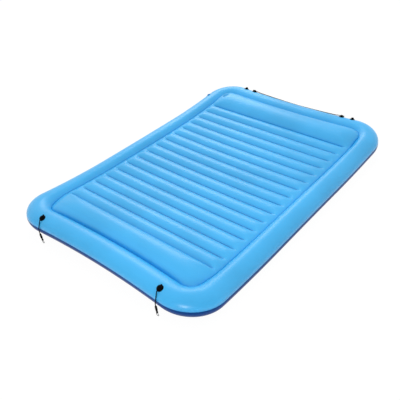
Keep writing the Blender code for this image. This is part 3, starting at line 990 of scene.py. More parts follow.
            # A cubic curve with handles of this length follows a round arc
            handle = 4 / 3 * math.tan(turn / 4) * radius
            t = np.linspace(0, 1, self.corner_stations + 1)[1:-1, None]
            first, second = start + leaving * handle, end - meeting * handle
            near, far = start * (1 - t) ** 3, end * t**3
            line.append(points)
            line.append(near + 3 * first * t * (1 - t) ** 2 + 3 * second * t**2 * (1 - t) + far)
        return np.concatenate(line)

    def ring(self, inset: np.ndarray | float) -> np.ndarray:
        """The outline moved inwards.

        Args:
            inset: how far, the same or its own at each station.

        Returns:
            The moved line's points as rows of X, Y.
        """
        line = self.outline()
        along = np.roll(line, -1, 0) - np.roll(line, 1, 0)
        along /= np.linalg.norm(along, axis=1)[:, None]
        inset = np.broadcast_to(inset, len(line))[:, None]
        return line - np.stack((along[:, 1], -along[:, 0]), 1) * inset


@dataclass
class Skin:
    """A sheet laid out on a grid of places, which are rows by columns by three numbers."""

    name: str
    places: np.ndarray
    wall: float = 0.0005
    hole_radius: float = 0.0088
    sharp_angle: float = 60

    def __post_init__(self) -> None:
        """Lays out the sheet."""
        rows, columns = (count - 1 for count in self.places.shape[:2])
        steps = {"x_subdivisions": columns, "y_subdivisions": rows}
        self.obj = primitive("grid", self.name, size=2, **steps)
        flat = points_of(self.obj)
        column = np.rint((flat[:, 0] + 1) / 2 * columns).astype(int)
        row = np.rint((flat[:, 1] + 1) / 2 * rows).astype(int)
        self.index = (row, column)
        move_points(self.obj, self.places[self.index])

    def _cut_hole(self, seat: Seat) -> None:
        """Opens the sheet where a valve passes through it.

        Args:
            seat: the valve's seat.
        """
        mesh = self.obj.data
        bpy.context.tool_settings.mesh_select_mode = (False, False, True)
        for item in (*mesh.vertices, *mesh.edges):
            item.select = False
        for face in mesh.polygons:
            face.select = seat.distance(face.center) < self.hole_radius
        edit(self.obj, lambda: bpy.ops.mesh.delete(type="FACE"), select_all=False)

    def close(
        self, node: str, finish: Finish, weld_and_shade: np.ndarray | None = None, seat: Seat | None = None
    ) -> Piece:
        """Welds the sheet's ends, thickens it inwards and dresses it.

        Args:
            node: the CAD skin that it stands for.
            finish: its finish.
            weld_and_shade: how much each place takes the welds' darker colour, their own tone with
                painted shade, where it shows any.
            seat: the seat of the valve that passes through it, where one does.

        Returns:
            The finished sheet.
        """
        sheet = self.obj
        if weld_and_shade is not None:
            attribute = sheet.data.attributes.new("weld_and_shade", "FLOAT", "POINT")
            attribute.data.foreach_set("value", weld_and_shade[self.index].astype(np.float32))
        if seat is not None:
            self._cut_hole(seat)
        edit(sheet, merge_doubles)
        apply_modifier(sheet, "SOLIDIFY", thickness=self.wall, offset=-1)
        dress(settle(sheet, Matrix(), self.sharp_angle), finish, stands_for=[node])
        return sheet


@dataclass
class Rim:
    """The raised tube round the mat: a sky-blue upper skin lapped over a navy lower one."""

    shape: MatShape
    lane_width: float = 0.011
    lane_depth: float = 0.0007
    lane_weld_and_shade: float = 0.35
    free_from: float = 13 / 12
    top_rows: int = 28
    under_rows: int = 14
    side_rows: int = 18
    band_tuck: float = 0.0010

    def _places(self, angles: Sequence[np.ndarray], press: Sequence[float]) -> np.ndarray:
        """Places on the tube, a row for each angle.

        Args:
            angles: rows of the angles round the tube at each station.
            press: how far each row is pressed in.

        Returns:
            Rows by stations by three numbers, the first station repeated at the end.
        """
        shape = self.shape
        station_y = shape.outline()[:, 1]
        rows = []
        for angle, depth in zip(angles, press):
            upper = np.max(angle) > math.pi / 2
            inset = shape.inset_at(angle, station_y if upper else None) + depth * np.cos(angle)
            x, y = shape.ring(inset).T
            x = shape.scalloped(x, y, y, shape.crease_inset - inset)
            height = shape.height_at(angle) - depth * np.sin(angle)
            rows.append(np.stack((x, y, height + shape.rise(y)), 1))
        places = np.stack(rows)
        return np.concatenate((places, places[:, :1]), 1)

    def build(self) -> Piece:
        """Makes both skins and the band that parts the tube from the deck.

        Returns:
            The upper skin.
        """
        shape, join = self.shape, self.shape.join_angle
        lane = self.lane_width / shape.half_height
        crease = shape.crease_angles(shape.outline()[:, 1])
        free = join + lane * self.free_from
        rows = [np.full_like(crease, angle) for angle in (join, join + lane)]
        rows += [free + (crease - free) * share for share in np.linspace(0, 1, self.top_rows)]
        press = [self.lane_depth] * 2 + [0.0] * self.top_rows
        places = RIM_VALVE_SEAT.pressed(self._places(rows, press))
        weld_and_shade = np.zeros(places.shape[:2])
        # The lap lane takes a little and the crease row all of the welds' darker colour: welds,
        # with painted shade of the lane and of the crease.
        weld_and_shade[:2] = self.lane_weld_and_shade
        weld_and_shade[-1] = 1.0
        top = Skin("rim_top_sheet", places).close("rim_top_skin", SKY, weld_and_shade, RIM_VALVE_SEAT)

        down = -math.pi / 2
        lower = [*np.linspace(-shape.crease_angle, down - shape.rest_angle, self.under_rows)]
        lower += [*np.linspace(down + shape.rest_angle, join, self.side_rows)]
        rows = [np.full_like(crease, angle) for angle in lower]
        press = [0.0] * (len(rows) - 1) + [self.lane_depth]
        Skin("rim_bottom_sheet", self._places(rows, press)).close("rim_bottom_skin", NAVY)

        rows = [np.full_like(crease, -shape.crease_angle), crease]
        under, over = self._places(rows, (0, 0))
        tuck = np.array((0, 0, self.band_tuck))
        band = Skin("partition_band_web", np.stack((under + tuck, over - tuck)))
        apply_modifier(band.obj, "SOLIDIFY", thickness=band.wall, offset=0)
        settle(band.obj, Matrix(), band.sharp_angle)
        dress(band.obj, INNER, stands_for=["partition_band"])
        return top


class DeckFace(Enum):
    """The deck's two sheets."""

    TOP = "top"
    BOTTOM = "bottom"


@dataclass
class Deck:
    """The mat's middle: two sheets held together along the seams.

    Each pair of sizes is for the foot's pillow and the head's.
    """

    shape: MatShape
    channel_bulge: float = 0.021
    pillow_bulge: Pair = (0.050, 0.058)
    under_bulge: float = 0.03375
    weld_half_width: float = 0.003
    weld_and_shade_fade: float = 0.0015
    weld_and_shade_span: Pair = (0.028, 0.075)
    tip_span: Pair = (0.008, 0.078)
    seam_power: float = 30
    channel_nose: float = 0.090
    channel_bluntness: float = 0.75
    channel_roundness: float = 0.80
    pillow_nose: Pair = (0.250, 0.150)
    pillow_bluntness: Pair = (0.72, 0.62)
    pillow_roundness: Pair = (0.48, 0.74)
    pillow_skew: Pair = (0.95, 1.00)
    pillow_start: float = 0.35
    edge_steps: Sequence[float] = (
        0, 0.0012, 0.003, 0.006, 0.010, 0.015, 0.021, 0.027, 0.033, 0.038, 0.042, 0.046,
        0.050, 0.055, 0.060, 0.066, 0.072, 0.080, 0.092, 0.106, 0.124, 0.146, 0.172,
    )
    middle_columns: int = 21
    seam_steps: Sequence[float] = (
        0, 0.0029, 0.0034, 0.0050, 0.0080, 0.0120, 0.0170, 0.0230, 0.0300, 0.0380, 0.0470, 0.0560,
    )
    pillow_steps: int = 7
    pillow_rows: int = 26

    def _follow(self, inset: np.ndarray | float) -> None:
        """Works out the deck's right-hand edge, from the foot's middle to the head's.

        Args:
            inset: how far inside the mat's outline the edge is, at each station.
        """
        shape = self.shape
        line = shape.ring(inset)
        start = int(np.argmin(np.where(line[:, 1] > 0, np.inf, np.abs(line[:, 0]))))
        line = np.roll(line, -start, 0)
        end, corner = shape.end_stations // 2, shape.corner_stations
        foot = end + corner // 2
        head = foot + corner + shape.side_stations
        self.corners = (line[foot], line[head])
        self.station_y = np.roll(shape.outline(), -start, 0)[foot : head + 1, 1]
        self.side_line = line[foot : head + 1]
        self.end_lines = (line[: foot + 1], line[head : head + corner // 2 + end + 1][::-1])

    def _half_width(self, y: np.ndarray) -> np.ndarray:
        """Half the deck's width at a distance along it."""
        return np.interp(y, self.side_line[:, 1], self.side_line[:, 0])

    def _end_shift(self, lines: np.ndarray, across: np.ndarray) -> np.ndarray:
        """How far the deck's end lies from its corners.

        Args:
            lines: Y of each row.
            across: place of each column as a share of the half width.

        Returns:
            The shift of each place at its own end.
        """
        shifts = []
        for line, corner in zip(self.end_lines, self.corners):
            x = np.abs(across) * corner[0]
            shifts.append(np.interp(x, line[:, 0], line[:, 1]) - corner[1])
        return np.where(lines < 0, *shifts)

    def _reaches(self) -> Pair:
        """How far the foot's and the head's pillow reach from their seam, at the corners."""
        foot, head = self.corners
        return self.shape.first_seam - foot[1], head[1] - self.shape.last_seam

    def _row_lines(self) -> np.ndarray:
        """Y of each row, from the foot end's edge to the head end's.

        Returns:
            The rows' Y.
        """
        shape = self.shape
        steps = np.array(self.seam_steps)
        channel = np.concatenate((steps, [shape.seam_pitch / 2], shape.seam_pitch - steps[:0:-1]))
        rows = [shape.seam(i) + channel[1:] for i in range(shape.seam_count - 1)]
        rows = [np.append(row, shape.seam(i + 1)) for i, row in enumerate(rows)]
        steps = steps[: self.pillow_steps]
        near, far = (
            np.concatenate((steps, np.linspace(steps[-1], reach, self.pillow_rows)[1:]))
            for reach in self._reaches()
        )
        return np.concatenate((shape.first_seam - near[::-1], *rows, shape.last_seam + far[1:]))

    def _across(self) -> np.ndarray:
        """Place of each column as a share of the deck's half width.

        Returns:
            The shares, from -1 on the left to 1 on the right.
        """
        widest = self._half_width(np.zeros(1))[0]
        edge = 1 - np.array(self.edge_steps) / widest
        half = np.concatenate((np.linspace(0, edge[-1], self.middle_columns)[:-1], edge[::-1]))
        return np.concatenate((-half[:0:-1], half))

    def _places(self, face: DeckFace) -> tuple[np.ndarray, np.ndarray]:
        """Places of one sheet, and how much each belongs to a weld line.

        Args:
            face: the sheet.

        Returns:
            Rows by columns by three numbers, and rows by columns.
        """
        shape, top = self.shape, face is DeckFace.TOP
        if top:
            station_y = shape.outline()[:, 1]
            self._follow(shape.inset_at(shape.crease_angles(station_y), station_y))
        else:
            self._follow(shape.crease_inset + shape.band_gap)
        lines, across = self._row_lines()[:, None], self._across()[None, :]
        at_foot = lines < 0
        reach = np.where(at_foot, *self._reaches())
        beyond = shape.beyond(lines)
        on_pillow = beyond > 0
        pillow = np.clip(beyond / reach, 0, 1)
        x = across * self._half_width(lines)
        y = lines + pillow * self._end_shift(lines, across)
        from_side = self._half_width(lines) * (1 - np.abs(across))

        flat, pitch = self.weld_half_width, shape.seam_pitch
        place_in_pitch = (lines - shape.first_seam) % pitch
        from_seam = np.minimum(place_in_pitch, pitch - place_in_pitch)
        from_seam = np.where(on_pillow, beyond, from_seam)
        channel = np.clip((from_seam - flat) / (pitch - 2 * flat), 0, 1)
        channel = arc_share(channel) ** self.channel_roundness
        share = np.clip((beyond - flat) / (reach - flat), 0, 1)
        skewed = share ** np.where(at_foot, *self.pillow_skew)
        bulge = arc_share(skewed) ** np.where(at_foot, *self.pillow_roundness)
        if top:
            seam = shape.rim_height - shape.seam_drop - shape.deck_sag(x, lines)
            station_y = np.interp(y, self.side_line[:, 1], self.station_y)
            crease = shape.height_at(shape.crease_angles(station_y))
            crest = seam + self.channel_bulge
            profile = seam + self.channel_bulge * channel
            bulge = np.where(at_foot, *self.pillow_bulge) * bulge
        else:
            seam = shape.seam_drop
            crease = float(shape.height_at(-shape.crease_angle))
            crest = np.zeros_like(lines)
            profile = seam - self.under_bulge * channel
            bulge = -self.under_bulge * bulge
        # A pillow's inner half never lies deeper than the channels' crests
        pillow_height = seam + (crease - seam) * share + bulge
        profile = np.maximum(0, np.where(on_pillow, pillow_height, profile))
        further = (np.maximum if top else np.minimum)(pillow_height, crest)
        open_side = np.where(share < 0.5, further, pillow_height)
        envelope = np.maximum(0, np.where(on_pillow, open_side, crest))

        pillow = smoothstep(pillow, 0, self.pillow_start)
        radius = np.where(at_foot, *self.pillow_nose) - self.channel_nose
        radius = self.channel_nose + radius * pillow
        blunt = np.where(at_foot, *self.pillow_bluntness) - self.channel_bluntness
        blunt = self.channel_bluntness + blunt * pillow
        nose = (1 - (1 - np.clip(from_side / radius, 0, 1)) ** 2) ** blunt
        tip = smoothstep(from_side, *self.tip_span)
        height = crease + (envelope - crease) * nose + (profile - envelope) * tip
        held = seam + (crease - seam) * np.maximum(np.abs(across) ** self.seam_power, share)
        height = np.maximum(height, held) if top else np.clip(height, 0, held)
        x = shape.scalloped(x, y, lines, from_side)
        places = np.stack(np.broadcast_arrays(x, y, height + shape.rise(y)), -1)
        # The seams take the welds' darker colour, fading out near the sides: welds, with painted
        # shade of the seam valleys.
        on_seam = 1 - smoothstep(from_seam, flat, flat + self.weld_and_shade_fade)
        return places, on_seam * smoothstep(from_side, *self.weld_and_shade_span)

    def build(self) -> None:
        """Makes both sheets, with the deck valve's flat in the upper one."""
        places, weld_and_shade = self._places(DeckFace.TOP)
        top = Skin("deck_top_sheet", DECK_VALVE_SEAT.pressed(places))
        top.close("deck_top_skin", SKY, weld_and_shade, DECK_VALVE_SEAT)
        places, weld_and_shade = self._places(DeckFace.BOTTOM)
        bottom = Skin("deck_bottom_sheet", places)
        edit(bottom.obj, bpy.ops.mesh.flip_normals)
        bottom.close("deck_bottom_skin", NAVY, weld_and_shade)


@dataclass
class Beams:
    """The webs under the seams, which the CAD has straight."""

    shape: MatShape
    reach: float = 0.66
    cuts: int = 13
    sharp_angle: float = 35

    def build(self, nodes: dict[str, Piece]) -> None:
        """Makes each web as low as the deck hangs there.

        Args:
            nodes: the frame's nodes by name.
        """
        for name, node in nodes.items():
            if name.startswith("i_beam"):
                beam = primitive("plane", f"{name}_web")
                beam.data = node.data.copy()
                edit(beam, merge_doubles)
                for x in np.linspace(-self.reach, self.reach, self.cuts):
                    plane = {"plane_co": (x, 0, 0), "plane_no": (1, 0, 0)}
                    edit(beam, lambda plane=plane: bpy.ops.mesh.bisect(**plane))
                points = points_of(beam)
                low, high = points[:, 2].min(), points[:, 2].max()
                drop = self.shape.deck_sag(points[:, 0], points[:, 1]) / (high - low)
                points[:, 2] -= (points[:, 2] - low) * drop
                move_points(beam, points)
                dress(settle(beam, Matrix(), self.sharp_angle), INNER, stands_for=[name])


# Fittings


@dataclass
class MouldedEye:
    """A round welded patch with a boss, and a hole through the boss for a cord."""

    name: str
    seat: Seat
    hole_turn: float
    boss_radius: float = 0.0135
    hole_height: float = 0.010
    hole_radius: float = 0.0042
    hole_sides: int = 32
    sides: int = 56
    edge: float = 0.0006
    edge_angle: float = 0.8
    sharp_angle: float = 40
    lap: Pair = (0.0125, 0.0165)
    profile: Sequence[Pair] = (
        (0, 0.0180), (0.0052, 0.0177), (0.0090, 0.0166), (0.0110, 0.0146), (0.0122, 0.0118),
        (0.0128, 0.0080), (0.0134, 0.0052), (0.0150, 0.0036), (0.0172, 0.0030), (0.0196, 0.0029),
        (0.0202, 0.0036), (0.0214, 0.0036), (0.0220, 0.0027), (0.0234, 0.0022), (0.0240, 0.0010),
        (0.0240, -0.0012), (0, -0.0012),
    )

    def build(self, skin: Piece) -> None:
        """Turns the patch, drills its boss and lays its flange on the skin.

        Args:
            skin: the rim's upper sheet.
        """
        eye = turned(f"{self.name}_moulding", self.profile, self.sides)
        rod = primitive(
            "cylinder",
            "rod",
            vertices=self.hole_sides,
            radius=self.hole_radius,
            depth=3 * self.boss_radius,
        )
        along = Matrix.Rotation(self.hole_turn, 4, "Z") @ Matrix.Rotation(math.pi / 2, 4, "X")
        cut(eye, rod, Matrix.Translation((0, 0, self.hole_height)) @ along)
        round_edges(eye, self.edge, self.edge_angle)
        frame = self.seat.matrix()
        tree = BVHTree.FromObject(skin, bpy.context.evaluated_depsgraph_get())
        points = points_of(eye)
        inverse = frame.inverted()
        down = frame.to_3x3() @ Vector((0, 0, -1))
        for point in points:
            share = float(smoothstep(math.hypot(point[0], point[1]), *self.lap))
            if share > 0:
                start = frame @ Vector((point[0], point[1], HIT_HEIGHT))
                hit = tree.ray_cast(start, down)[0]
                if hit is not None:
                    point[2] += (inverse @ hit).z * share
        move_points(eye, points)
        dress(settle(eye, frame, self.sharp_angle), RUBBER, stands_for=[self.name])


@dataclass
class StopperKnot:
    """An overhand knot pulled tight against an eye."""

    name: str
    place: Matrix
    cord_length: float = 0.06
    cord_radius: float = 0.0024
    loop: float = 0.00135
    depth: float = 0.0026
    steps: int = 72
    resolution: int = 3
    sharp_angle: float = 60

    def build(self) -> Piece:
        """Ties the knot.

        Returns:
            The finished knot.
        """
        line = []
        for step in range(self.steps + 1):
            t = TURN * step / self.steps
            across = math.sin(t) + 2 * math.sin(2 * t)
            up = math.cos(t) - 2 * math.cos(2 * t)
            line.append(Vector((across * self.loop, up * self.loop, -math.sin(3 * t) * self.depth)))
        knot = tube(f"{self.name}_tied", line, self.cord_radius, self.resolution)
        settle(knot, self.place, self.sharp_angle)
        braid = Braid("knot_braid", "black_cord", self.cord_length)
        return dress(knot, braid, stands_for=[self.name])


@dataclass
class Cord:
    """A braided cord along a route, with its real length."""

    name: str
    route: Sequence[Point]
    length: float
    far_end: str
    stiffness: str
    diameter: float = 0.006
    spacing: float = 0.0025
    resolution: int = 4
    sharp_angle: float = 60

    def build(self) -> Piece:
        """Lays the cord.

        Returns:
            The finished cord.
        """
        self.line = smooth_line(self.route, self.spacing)
        cord = tube(f"{self.name}_braided", self.line, self.diameter / 2, self.resolution)
        settle(cord, Matrix(), self.sharp_angle)
        braid = Braid(f"{self.name}_braid", "black_cord", self.length)
        return dress(cord, braid, stands_for=[self.name])


@dataclass
class Clip:
    """The barrel on a cord's end and the snap clip that swivels below it."""

    side: str
    hung_from: Point
    lean: float
    sides: int = 40
    edge: float = 0.0003
    sharp_angle: float = 40
    sleeve_length: float = 0.044
    groove_tops: Sequence[float] = (-0.0120, -0.0181, -0.0242)
    stem_neck: float = 0.003
    collar_length: float = 0.014
    slot_length: float = 0.03
    slot_depth: float = 0.008
    slot_play: float = 0.0006
    wire_radius: float = 0.0018
    leg_x: float = 0.0036
    leg_gap: float = 0.0003
    ring_radius: float = 0.0099
    ring_drop: float = 0.0285
    ring_start: float = math.radians(48)
    ring_end: float = math.radians(-202)
    ring_steps: int = 48
    ring_resolution: int = 5
    ring_sharp_angle: float = 50
    collar_profile: Sequence[Pair] = (
        (0, 0.0116), (0.0022, 0.0116), (0.0022, 0), (0.0046, 0), (0.0060, -0.0010),
        (0.0065, -0.0030), (0.0065, -0.0132), (0.0058, -0.0140), (0, -0.0140),
    )

    def _sleeve_profile(self) -> list[Pair]:
        """The barrel's shoulder, its three grooves, its tapered end and the stem's hole.

        Returns:
            Radii and heights.
        """
        profile = [
            (0, 0), (0.0040, 0), (0.0050, -0.0010), (0.0058, -0.0040), (0.0072, -0.0075),
            (0.0075, -0.0095),
        ]
        for top in self.groove_tops:
            steps = ((0.0075, 0), (0.0067, 0.0008), (0.0067, 0.0028), (0.0075, 0.0036))
            profile += [(radius, top - drop) for radius, drop in steps]
        return profile + [
            (0.0075, -0.0345), (0.0068, -0.0385), (0.0058, -0.0425), (0.0052, -0.0440),
            (0.0026, -0.0440), (0.0026, -0.0350), (0, -0.0350),
        ]

    def _ring_line(self) -> list[Vector]:
        """The middle of the wire, from its leg in the collar round the ring.

        Returns:
            The line's points.
        """
        foot = self.slot_depth - self.collar_length - self.leg_gap
        line = [Vector((self.leg_x, 0, height)) for height in (foot, -self.collar_length)]
        for step in range(self.ring_steps + 1):
            angle = self.ring_start + (self.ring_end - self.ring_start) * step / self.ring_steps
            across, up = self.ring_radius * math.cos(angle), self.ring_radius * math.sin(angle)
            line.append(Vector((across, 0, up - self.ring_drop)))
        return line

    def build(self) -> list[Piece]:
        """Makes the barrel, the collar and the ring.

        Returns:
            The pieces that hang on the cord, CAD nodes among them.
        """
        side, body = self.side, f"{self.side}_clip"
        top = Matrix.Translation(self.hung_from) @ Matrix.Rotation(-self.lean, 4, "Y")
        below = top @ Matrix.Translation((0, 0, -self.sleeve_length - self.stem_neck))
        sleeve = turned(f"cord_sleeve_{side}_moulding", self._sleeve_profile(), self.sides)
        round_edges(sleeve, self.edge)
        settle(sleeve, top, self.sharp_angle)
        dress(sleeve, PLASTIC, stands_for=[f"cord_sleeve_{side}"])

        collar = turned(f"swivel_collar_{side}_moulding", self.collar_profile, self.sides)
        wide = 2 * self.wire_radius + self.slot_play
        size = Matrix.Diagonal((self.slot_length, wide, 2 * self.slot_depth, 1))
        slot = primitive("cube", "slot", size=1)
        cut(collar, slot, Matrix.Translation((0, 0, -self.collar_length)) @ size)
        round_edges(collar, self.edge)
        settle(collar, below, self.sharp_angle)
        dress(collar, PLASTIC, body, [f"swivel_collar_{side}"])

        line, resolution = self._ring_line(), self.ring_resolution
        ring = tube(f"snap_ring_{side}_wire", line, self.wire_radius, resolution)
        dress(settle(ring, below, self.ring_sharp_angle), STEEL, body, [f"snap_ring_{side}"])
        kept = [bpy.data.objects[f"{part}_{side}"] for part in ("snap_gate", "gate_pin")]
        return [sleeve, collar, ring, *kept]


@dataclass
class Valve:
    """An air valve welded on a skin: its flanged seat, and its plug cap on a strap."""

    name: str
    seat: Seat
    body: str
    sides: int = 56
    sharp_angle: float = 35
    cap_radius: float = 0.0125
    strap_width: float = 0.007
    strap_thickness: float = 0.0016
    strap_edge: float = 0.0004
    lip_radius: float = 0.0048
    lip_thickness: float = 0.0016
    lip_height: float = 0.0066
    lip_edge: float = 0.0005
    lip_sides: int = 24
    seat_profile: Sequence[Pair] = (
        (0.0070, 0.0049), (0.0100, 0.0049), (0.0105, 0.0044), (0.0107, 0.0022), (0.0118, 0.0017),
        (0.0140, 0.0016), (0.0143, 0.0020), (0.0153, 0.0020), (0.0156, 0.0015), (0.0168, 0.0012),
        (0.0170, 0.0004), (0.0085, 0.0004), (0.0085, -0.0110), (0.0070, -0.0110),
    )
    cap_profile: Sequence[Pair] = (
        (0, 0.0068), (0.0035, 0.0069), (0.0060, 0.0074), (0.0098, 0.0079), (0.0118, 0.0078),
        (0.0125, 0.0070), (0.0125, 0.0056), (0.0121, 0.0052), (0.0064, 0.0052), (0.0064, 0.0022),
        (0.0060, 0.0017), (0, 0.0017),
    )
    strap_line: Sequence[Pair] = (
        (0.0105, 0.0064), (0.0122, 0.0060), (0.0136, 0.0049), (0.0147, 0.0034), (0.0158, 0.0031),
    )

    def build(self) -> None:
        """Makes the seat, and the cap with its strap and finger lip."""
        frame = self.seat.matrix()
        seat = turned(f"{self.name}_seat_moulding", self.seat_profile, self.sides)
        settle(seat, frame, self.sharp_angle)
        dress(seat, SEAT_VINYL, stands_for=[f"{self.name}_seat"])

        cap = turned(f"{self.name}_cap_moulding", self.cap_profile, self.sides)
        strap = drawn("strap", [(-self.strap_width / 2, y, z) for y, z in self.strap_line])
        across = {"value": (self.strap_width, 0, 0)}
        edit(strap, lambda: bpy.ops.mesh.extrude_region_move(TRANSFORM_OT_translate=across))
        apply_modifier(strap, "SOLIDIFY", thickness=self.strap_thickness, offset=0)
        round_edges(strap, self.strap_edge)
        size = {"radius": self.lip_radius, "depth": self.lip_thickness}
        lip = primitive("cylinder", "lip", vertices=self.lip_sides, **size)
        lip.data.transform(Matrix.Translation((0, -self.cap_radius, self.lip_height)))
        round_edges(lip, self.lip_edge)
        only(cap, strap, lip)
        bpy.ops.object.join()
        settle(cap, frame, self.sharp_angle)
        dress(cap, CAP_VINYL, self.body, [f"{self.name}_cap"])


# Routes of the cords, as in the CAD
CORD_ROUTES: dict[str, Sequence[Point]] = {
    "left": (
        (-0.5809, -1.2757, 0.2349), (-0.5797, -1.2883, 0.2301), (-0.5785, -1.3009, 0.2253),
        (-0.5774, -1.3096, 0.2192), (-0.5748, -1.3185, 0.2062), (-0.5726, -1.3275, 0.1910),
        (-0.5718, -1.3340, 0.1780), (-0.5740, -1.3386, 0.1547), (-0.5768, -1.3399, 0.1400),
        (-0.5773, -1.3403, 0.1290), (-0.5745, -1.3405, 0.1143),
    ),
    "right": (
        (0.5809, -1.2757, 0.2349), (0.5797, -1.2883, 0.2301), (0.5785, -1.3009, 0.2253),
        (0.5778, -1.3096, 0.2192), (0.5797, -1.3185, 0.2062), (0.5835, -1.3275, 0.1910),
        (0.5857, -1.3348, 0.1780), (0.5850, -1.3394, 0.1547), (0.5818, -1.3402, 0.1400),
        (0.5799, -1.3403, 0.1290), (0.5810, -1.3405, 0.1143),
    ),
}
HALF_ROPE_ROUTE: Sequence[Point] = (
    (0.4901, 1.2823, 0.2292), (0.4767, 1.2810, 0.2292), (0.4633, 1.2797, 0.2292),
    (0.4450, 1.2799, 0.2269), (0.4100, 1.2828, 0.2203), (0.3700, 1.2885, 0.2150),
    (0.3100, 1.2921, 0.2099), (0.2300, 1.2944, 0.2052), (0.1200, 1.2972, 0.2003),
)
ROPE_ROUTE: Sequence[Point] = (
    *((-x, y, z) for x, y, z in HALF_ROPE_ROUTE),
    (0, 1.2976, 0.1982),
    *HALF_ROPE_ROUTE[::-1],
)
CLIP_LEANS = {"left": math.radians(11), "right": math.radians(6)}


@dataclass
class Hardware:
    """All that is fixed on the mat: eyes, cords, clips, the grab rope and the valves."""

    outer: Point = (0.58, 1.2847, 0.2208)
    inner: Point = (0.477, 1.2774, 0.2198)
    out: Point = (0.0335, 0.3549, 0.9343)
    knot_reach: float = 0.0193
    tether_length: float = 0.151
    rope_length: float = 0.985
    clip_gap: float = 0.0003

    def _seat(self, spot: Point, side: int, end: int) -> Seat:
        """The seat of one eye.

        Args:
            spot: its place on the right of the head end.
            side: -1 on the left, 1 on the right.
            end: -1 at the foot, 1 at the head.

        Returns:
            The seat.
        """
        (x, y, z), (across, along, up) = spot, self.out
        return Seat((side * x, end * y, z), (-side * across, end * along, up))

    def _tether(self, side: str, sign: int, skin: Piece) -> None:
        """One of the foot end's eyes with its knot, cord and clip.

        Args:
            side: left or right.
            sign: -1 on the left, 1 on the right.
            skin: the rim's upper sheet.
        """
        seat = self._seat(self.outer, sign, -1)
        MouldedEye(f"tether_eye_{side}", seat, 0).build(skin)
        reach = Matrix.Translation((0, self.knot_reach, MouldedEye.hole_height))
        knot = StopperKnot(f"tether_knot_{side}", seat.matrix() @ reach).build()
        route = CORD_ROUTES[side]
        tether = Cord(f"tether_cord_{side}", route, self.tether_length, "fitting", "medium")
        cord = tether.build()
        x, y, z = route[-1]
        pieces = Clip(side, (x, y, z - self.clip_gap), CLIP_LEANS[side]).build()

    def _head_end(self, skin: Piece) -> None:
        """The head end's eyes and its grab rope.

        Args:
            skin: the rim's upper sheet.
        """
        knots, quarter = [], math.pi / 2
        for side, sign in SIDES:
            outer, inner = (self._seat(spot, sign, 1) for spot in (self.outer, self.inner))
            MouldedEye(f"head_eye_{side}", outer, quarter).build(skin)
            MouldedEye(f"rope_eye_{side}", inner, quarter).build(skin)
            reach = Matrix.Translation((-sign * self.knot_reach, 0, MouldedEye.hole_height))
            place = inner.matrix() @ reach @ Matrix.Rotation(quarter, 4, "Z")
            knots.append(StopperKnot(f"rope_knot_{side}", place).build())
        rope = Cord("grab_rope", ROPE_ROUTE, self.rope_length, "object", "limp")
        rope.build()

    def build(self, skin: Piece) -> None:
        """Makes every fitting.

        Args:
            skin: the rim's upper sheet, on which the eyes lie.
        """
        for side, sign in SIDES:
            self._tether(side, sign, skin)
        self._head_end(skin)
        Valve("deck_valve", DECK_VALVE_SEAT, "deck_cap").build()
        Valve("rim_valve", RIM_VALVE_SEAT, "rim_cap").build()

    def dress_kept_nodes(self, nodes: dict[str, Piece]) -> None:
        """Gives the CAD nodes that stay their own finishes.

        Args:
            nodes: the frame's nodes by name.
        """
        finishes = {"snap_gate": STEEL, "gate_pin": STEEL}
        finishes |= {f"{valve}_valve_check_flap": SEAT_VINYL for valve in ("deck", "rim")}
        for name, node in nodes.items():
            for start, finish in finishes.items():
                if name.startswith(start):
                    node.data.materials.clear()
                    node.data.materials.append(finish.made())
                    LOG.info("%s: as in the CAD", name)


# The studio


@dataclass(frozen=True)
class Softbox:
    """A square lamp that points at the mat, mirrored in it, spread over it, or both."""

    name: str
    place: Point
    size: float
    power: float
    mirrored: bool = True
    spread: bool = True
    aim: Point = (0, 0, 0.1)

    def build(self) -> None:
        """Hangs the lamp."""
        way = Vector(self.aim) - Vector(self.place)
        turn = way.to_track_quat("-Z", "Y").to_euler()
        bpy.ops.object.light_add(type="AREA", location=self.place, rotation=turn)
        lamp = bpy.context.object
        lamp.name = self.name
        lamp.data.size = self.size
        lamp.data.energy = self.power
        lamp.visible_glossy = self.mirrored
        lamp.visible_diffuse = self.spread


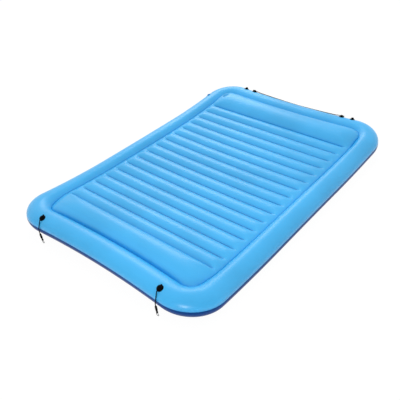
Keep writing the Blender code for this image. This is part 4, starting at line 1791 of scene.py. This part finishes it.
@dataclass
class Studio:
    """Camera, lamps, floor and sky."""

    lens: float = 46.97
    sensor: float = 36.0
    view_reach: float = 200
    camera_place: Point = (2.2525, -2.7735, 2.5417)
    camera_right: Point = (0.7748, 0.6303, -0.0491)
    camera_up: Point = (-0.3493, 0.4915, 0.7977)
    sky_dim: float = 0.36
    sky_bright: float = 0.92
    sky_way: Point = (-0.45, 0.53, 0.72)
    sky_span: Pair = (-0.4, 0.9)
    floor_size: float = 60.0
    floor_gap: float = 0.0002
    floor_colour: Colour = (0.92, 0.92, 0.92)
    floor_glow: float = 1.04
    floor_glow_share: float = 0.92
    white: Colour = (1.0, 1.0, 1.0)
    lamps: Sequence[Softbox] = (
        Softbox("key", (-6.0, 7.5, 12.5), 5.0, 790, mirrored=False),
        Softbox("rim light", (-5.2, 6.1, 4.7), 3.7, 98, spread=False),
        Softbox("fill", (2.5, -4.8, 1.5), 1.2, 58),
    )

    def _camera(self) -> None:
        """Sets the camera where the photographer stood."""
        bpy.ops.object.camera_add()
        camera = bpy.context.object
        right, up = Vector(self.camera_right).normalized(), Vector(self.camera_up)
        back = right.cross(up).normalized()
        turn = Matrix((right, back.cross(right), back)).transposed().to_4x4()
        camera.matrix_world = Matrix.Translation(self.camera_place) @ turn
        camera.data.lens = self.lens
        camera.data.sensor_width = self.sensor
        camera.data.clip_end = self.view_reach
        bpy.context.scene.camera = camera

    def _floor(self) -> None:
        """Lays a pale floor, just under the mat, that shows its shadow."""
        place = (0, 0, -self.floor_gap)
        floor = primitive("plane", "studio_floor", size=self.floor_size, location=place)
        material = bpy.data.materials.new("studio_floor")
        wiring = Wiring(material)
        shader = wiring.node("BsdfDiffuse", {"Color": self.floor_colour, "Roughness": 1.0})
        glow = wiring.node("Emission", {"Color": self.white, "Strength": self.floor_glow})
        share = wiring.seen() * self.floor_glow_share
        mixed = wiring.node("MixShader", {0: share, 1: shader, 2: glow})
        wiring.node("OutputMaterial", {"Surface": mixed})
        floor.data.materials.append(material)

    def _sky(self) -> None:
        """Surrounds the mat with soft light from above and behind, and a white background."""
        world = bpy.data.worlds.new("studio")
        bpy.context.scene.world = world
        wiring = Wiring(world)
        way = wiring.node("TexCoord", output="Generated")
        ways = {0: way, 1: self.sky_way}
        towards = wiring.node("VectorMath", ways, "Value", operation="DOT_PRODUCT")
        light = towards.between(*self.sky_span) * (self.sky_bright - self.sky_dim) + self.sky_dim
        strength = wiring.seen().larger(light)
        sky = wiring.node("Background", {"Color": self.white, "Strength": strength})
        wiring.node("OutputWorld", {"Surface": sky})

    def build(self) -> None:
        """Sets up the whole studio."""
        self._camera()
        self._floor()
        self._sky()
        for lamp in self.lamps:
            lamp.build()
        bpy.context.scene.view_settings.view_transform = "Standard"


def main() -> None:
    """Builds the looks round the frame."""
    logging.basicConfig(level=logging.INFO, format="%(message)s")
    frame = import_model()
    for obj in [o for o in bpy.data.objects if o.name in ("Cube", "Light", "Camera")]:
        bpy.data.objects.remove(obj, do_unlink=True)
    shape, hardware = MatShape(), Hardware()
    Studio().build()
    rim_top = Rim(shape).build()
    Deck(shape).build()
    hardware.build(rim_top)
    Beams(shape).build(frame["nodes"])
    hardware.dress_kept_nodes(frame["nodes"])


if __name__ == "__main__":
    main()
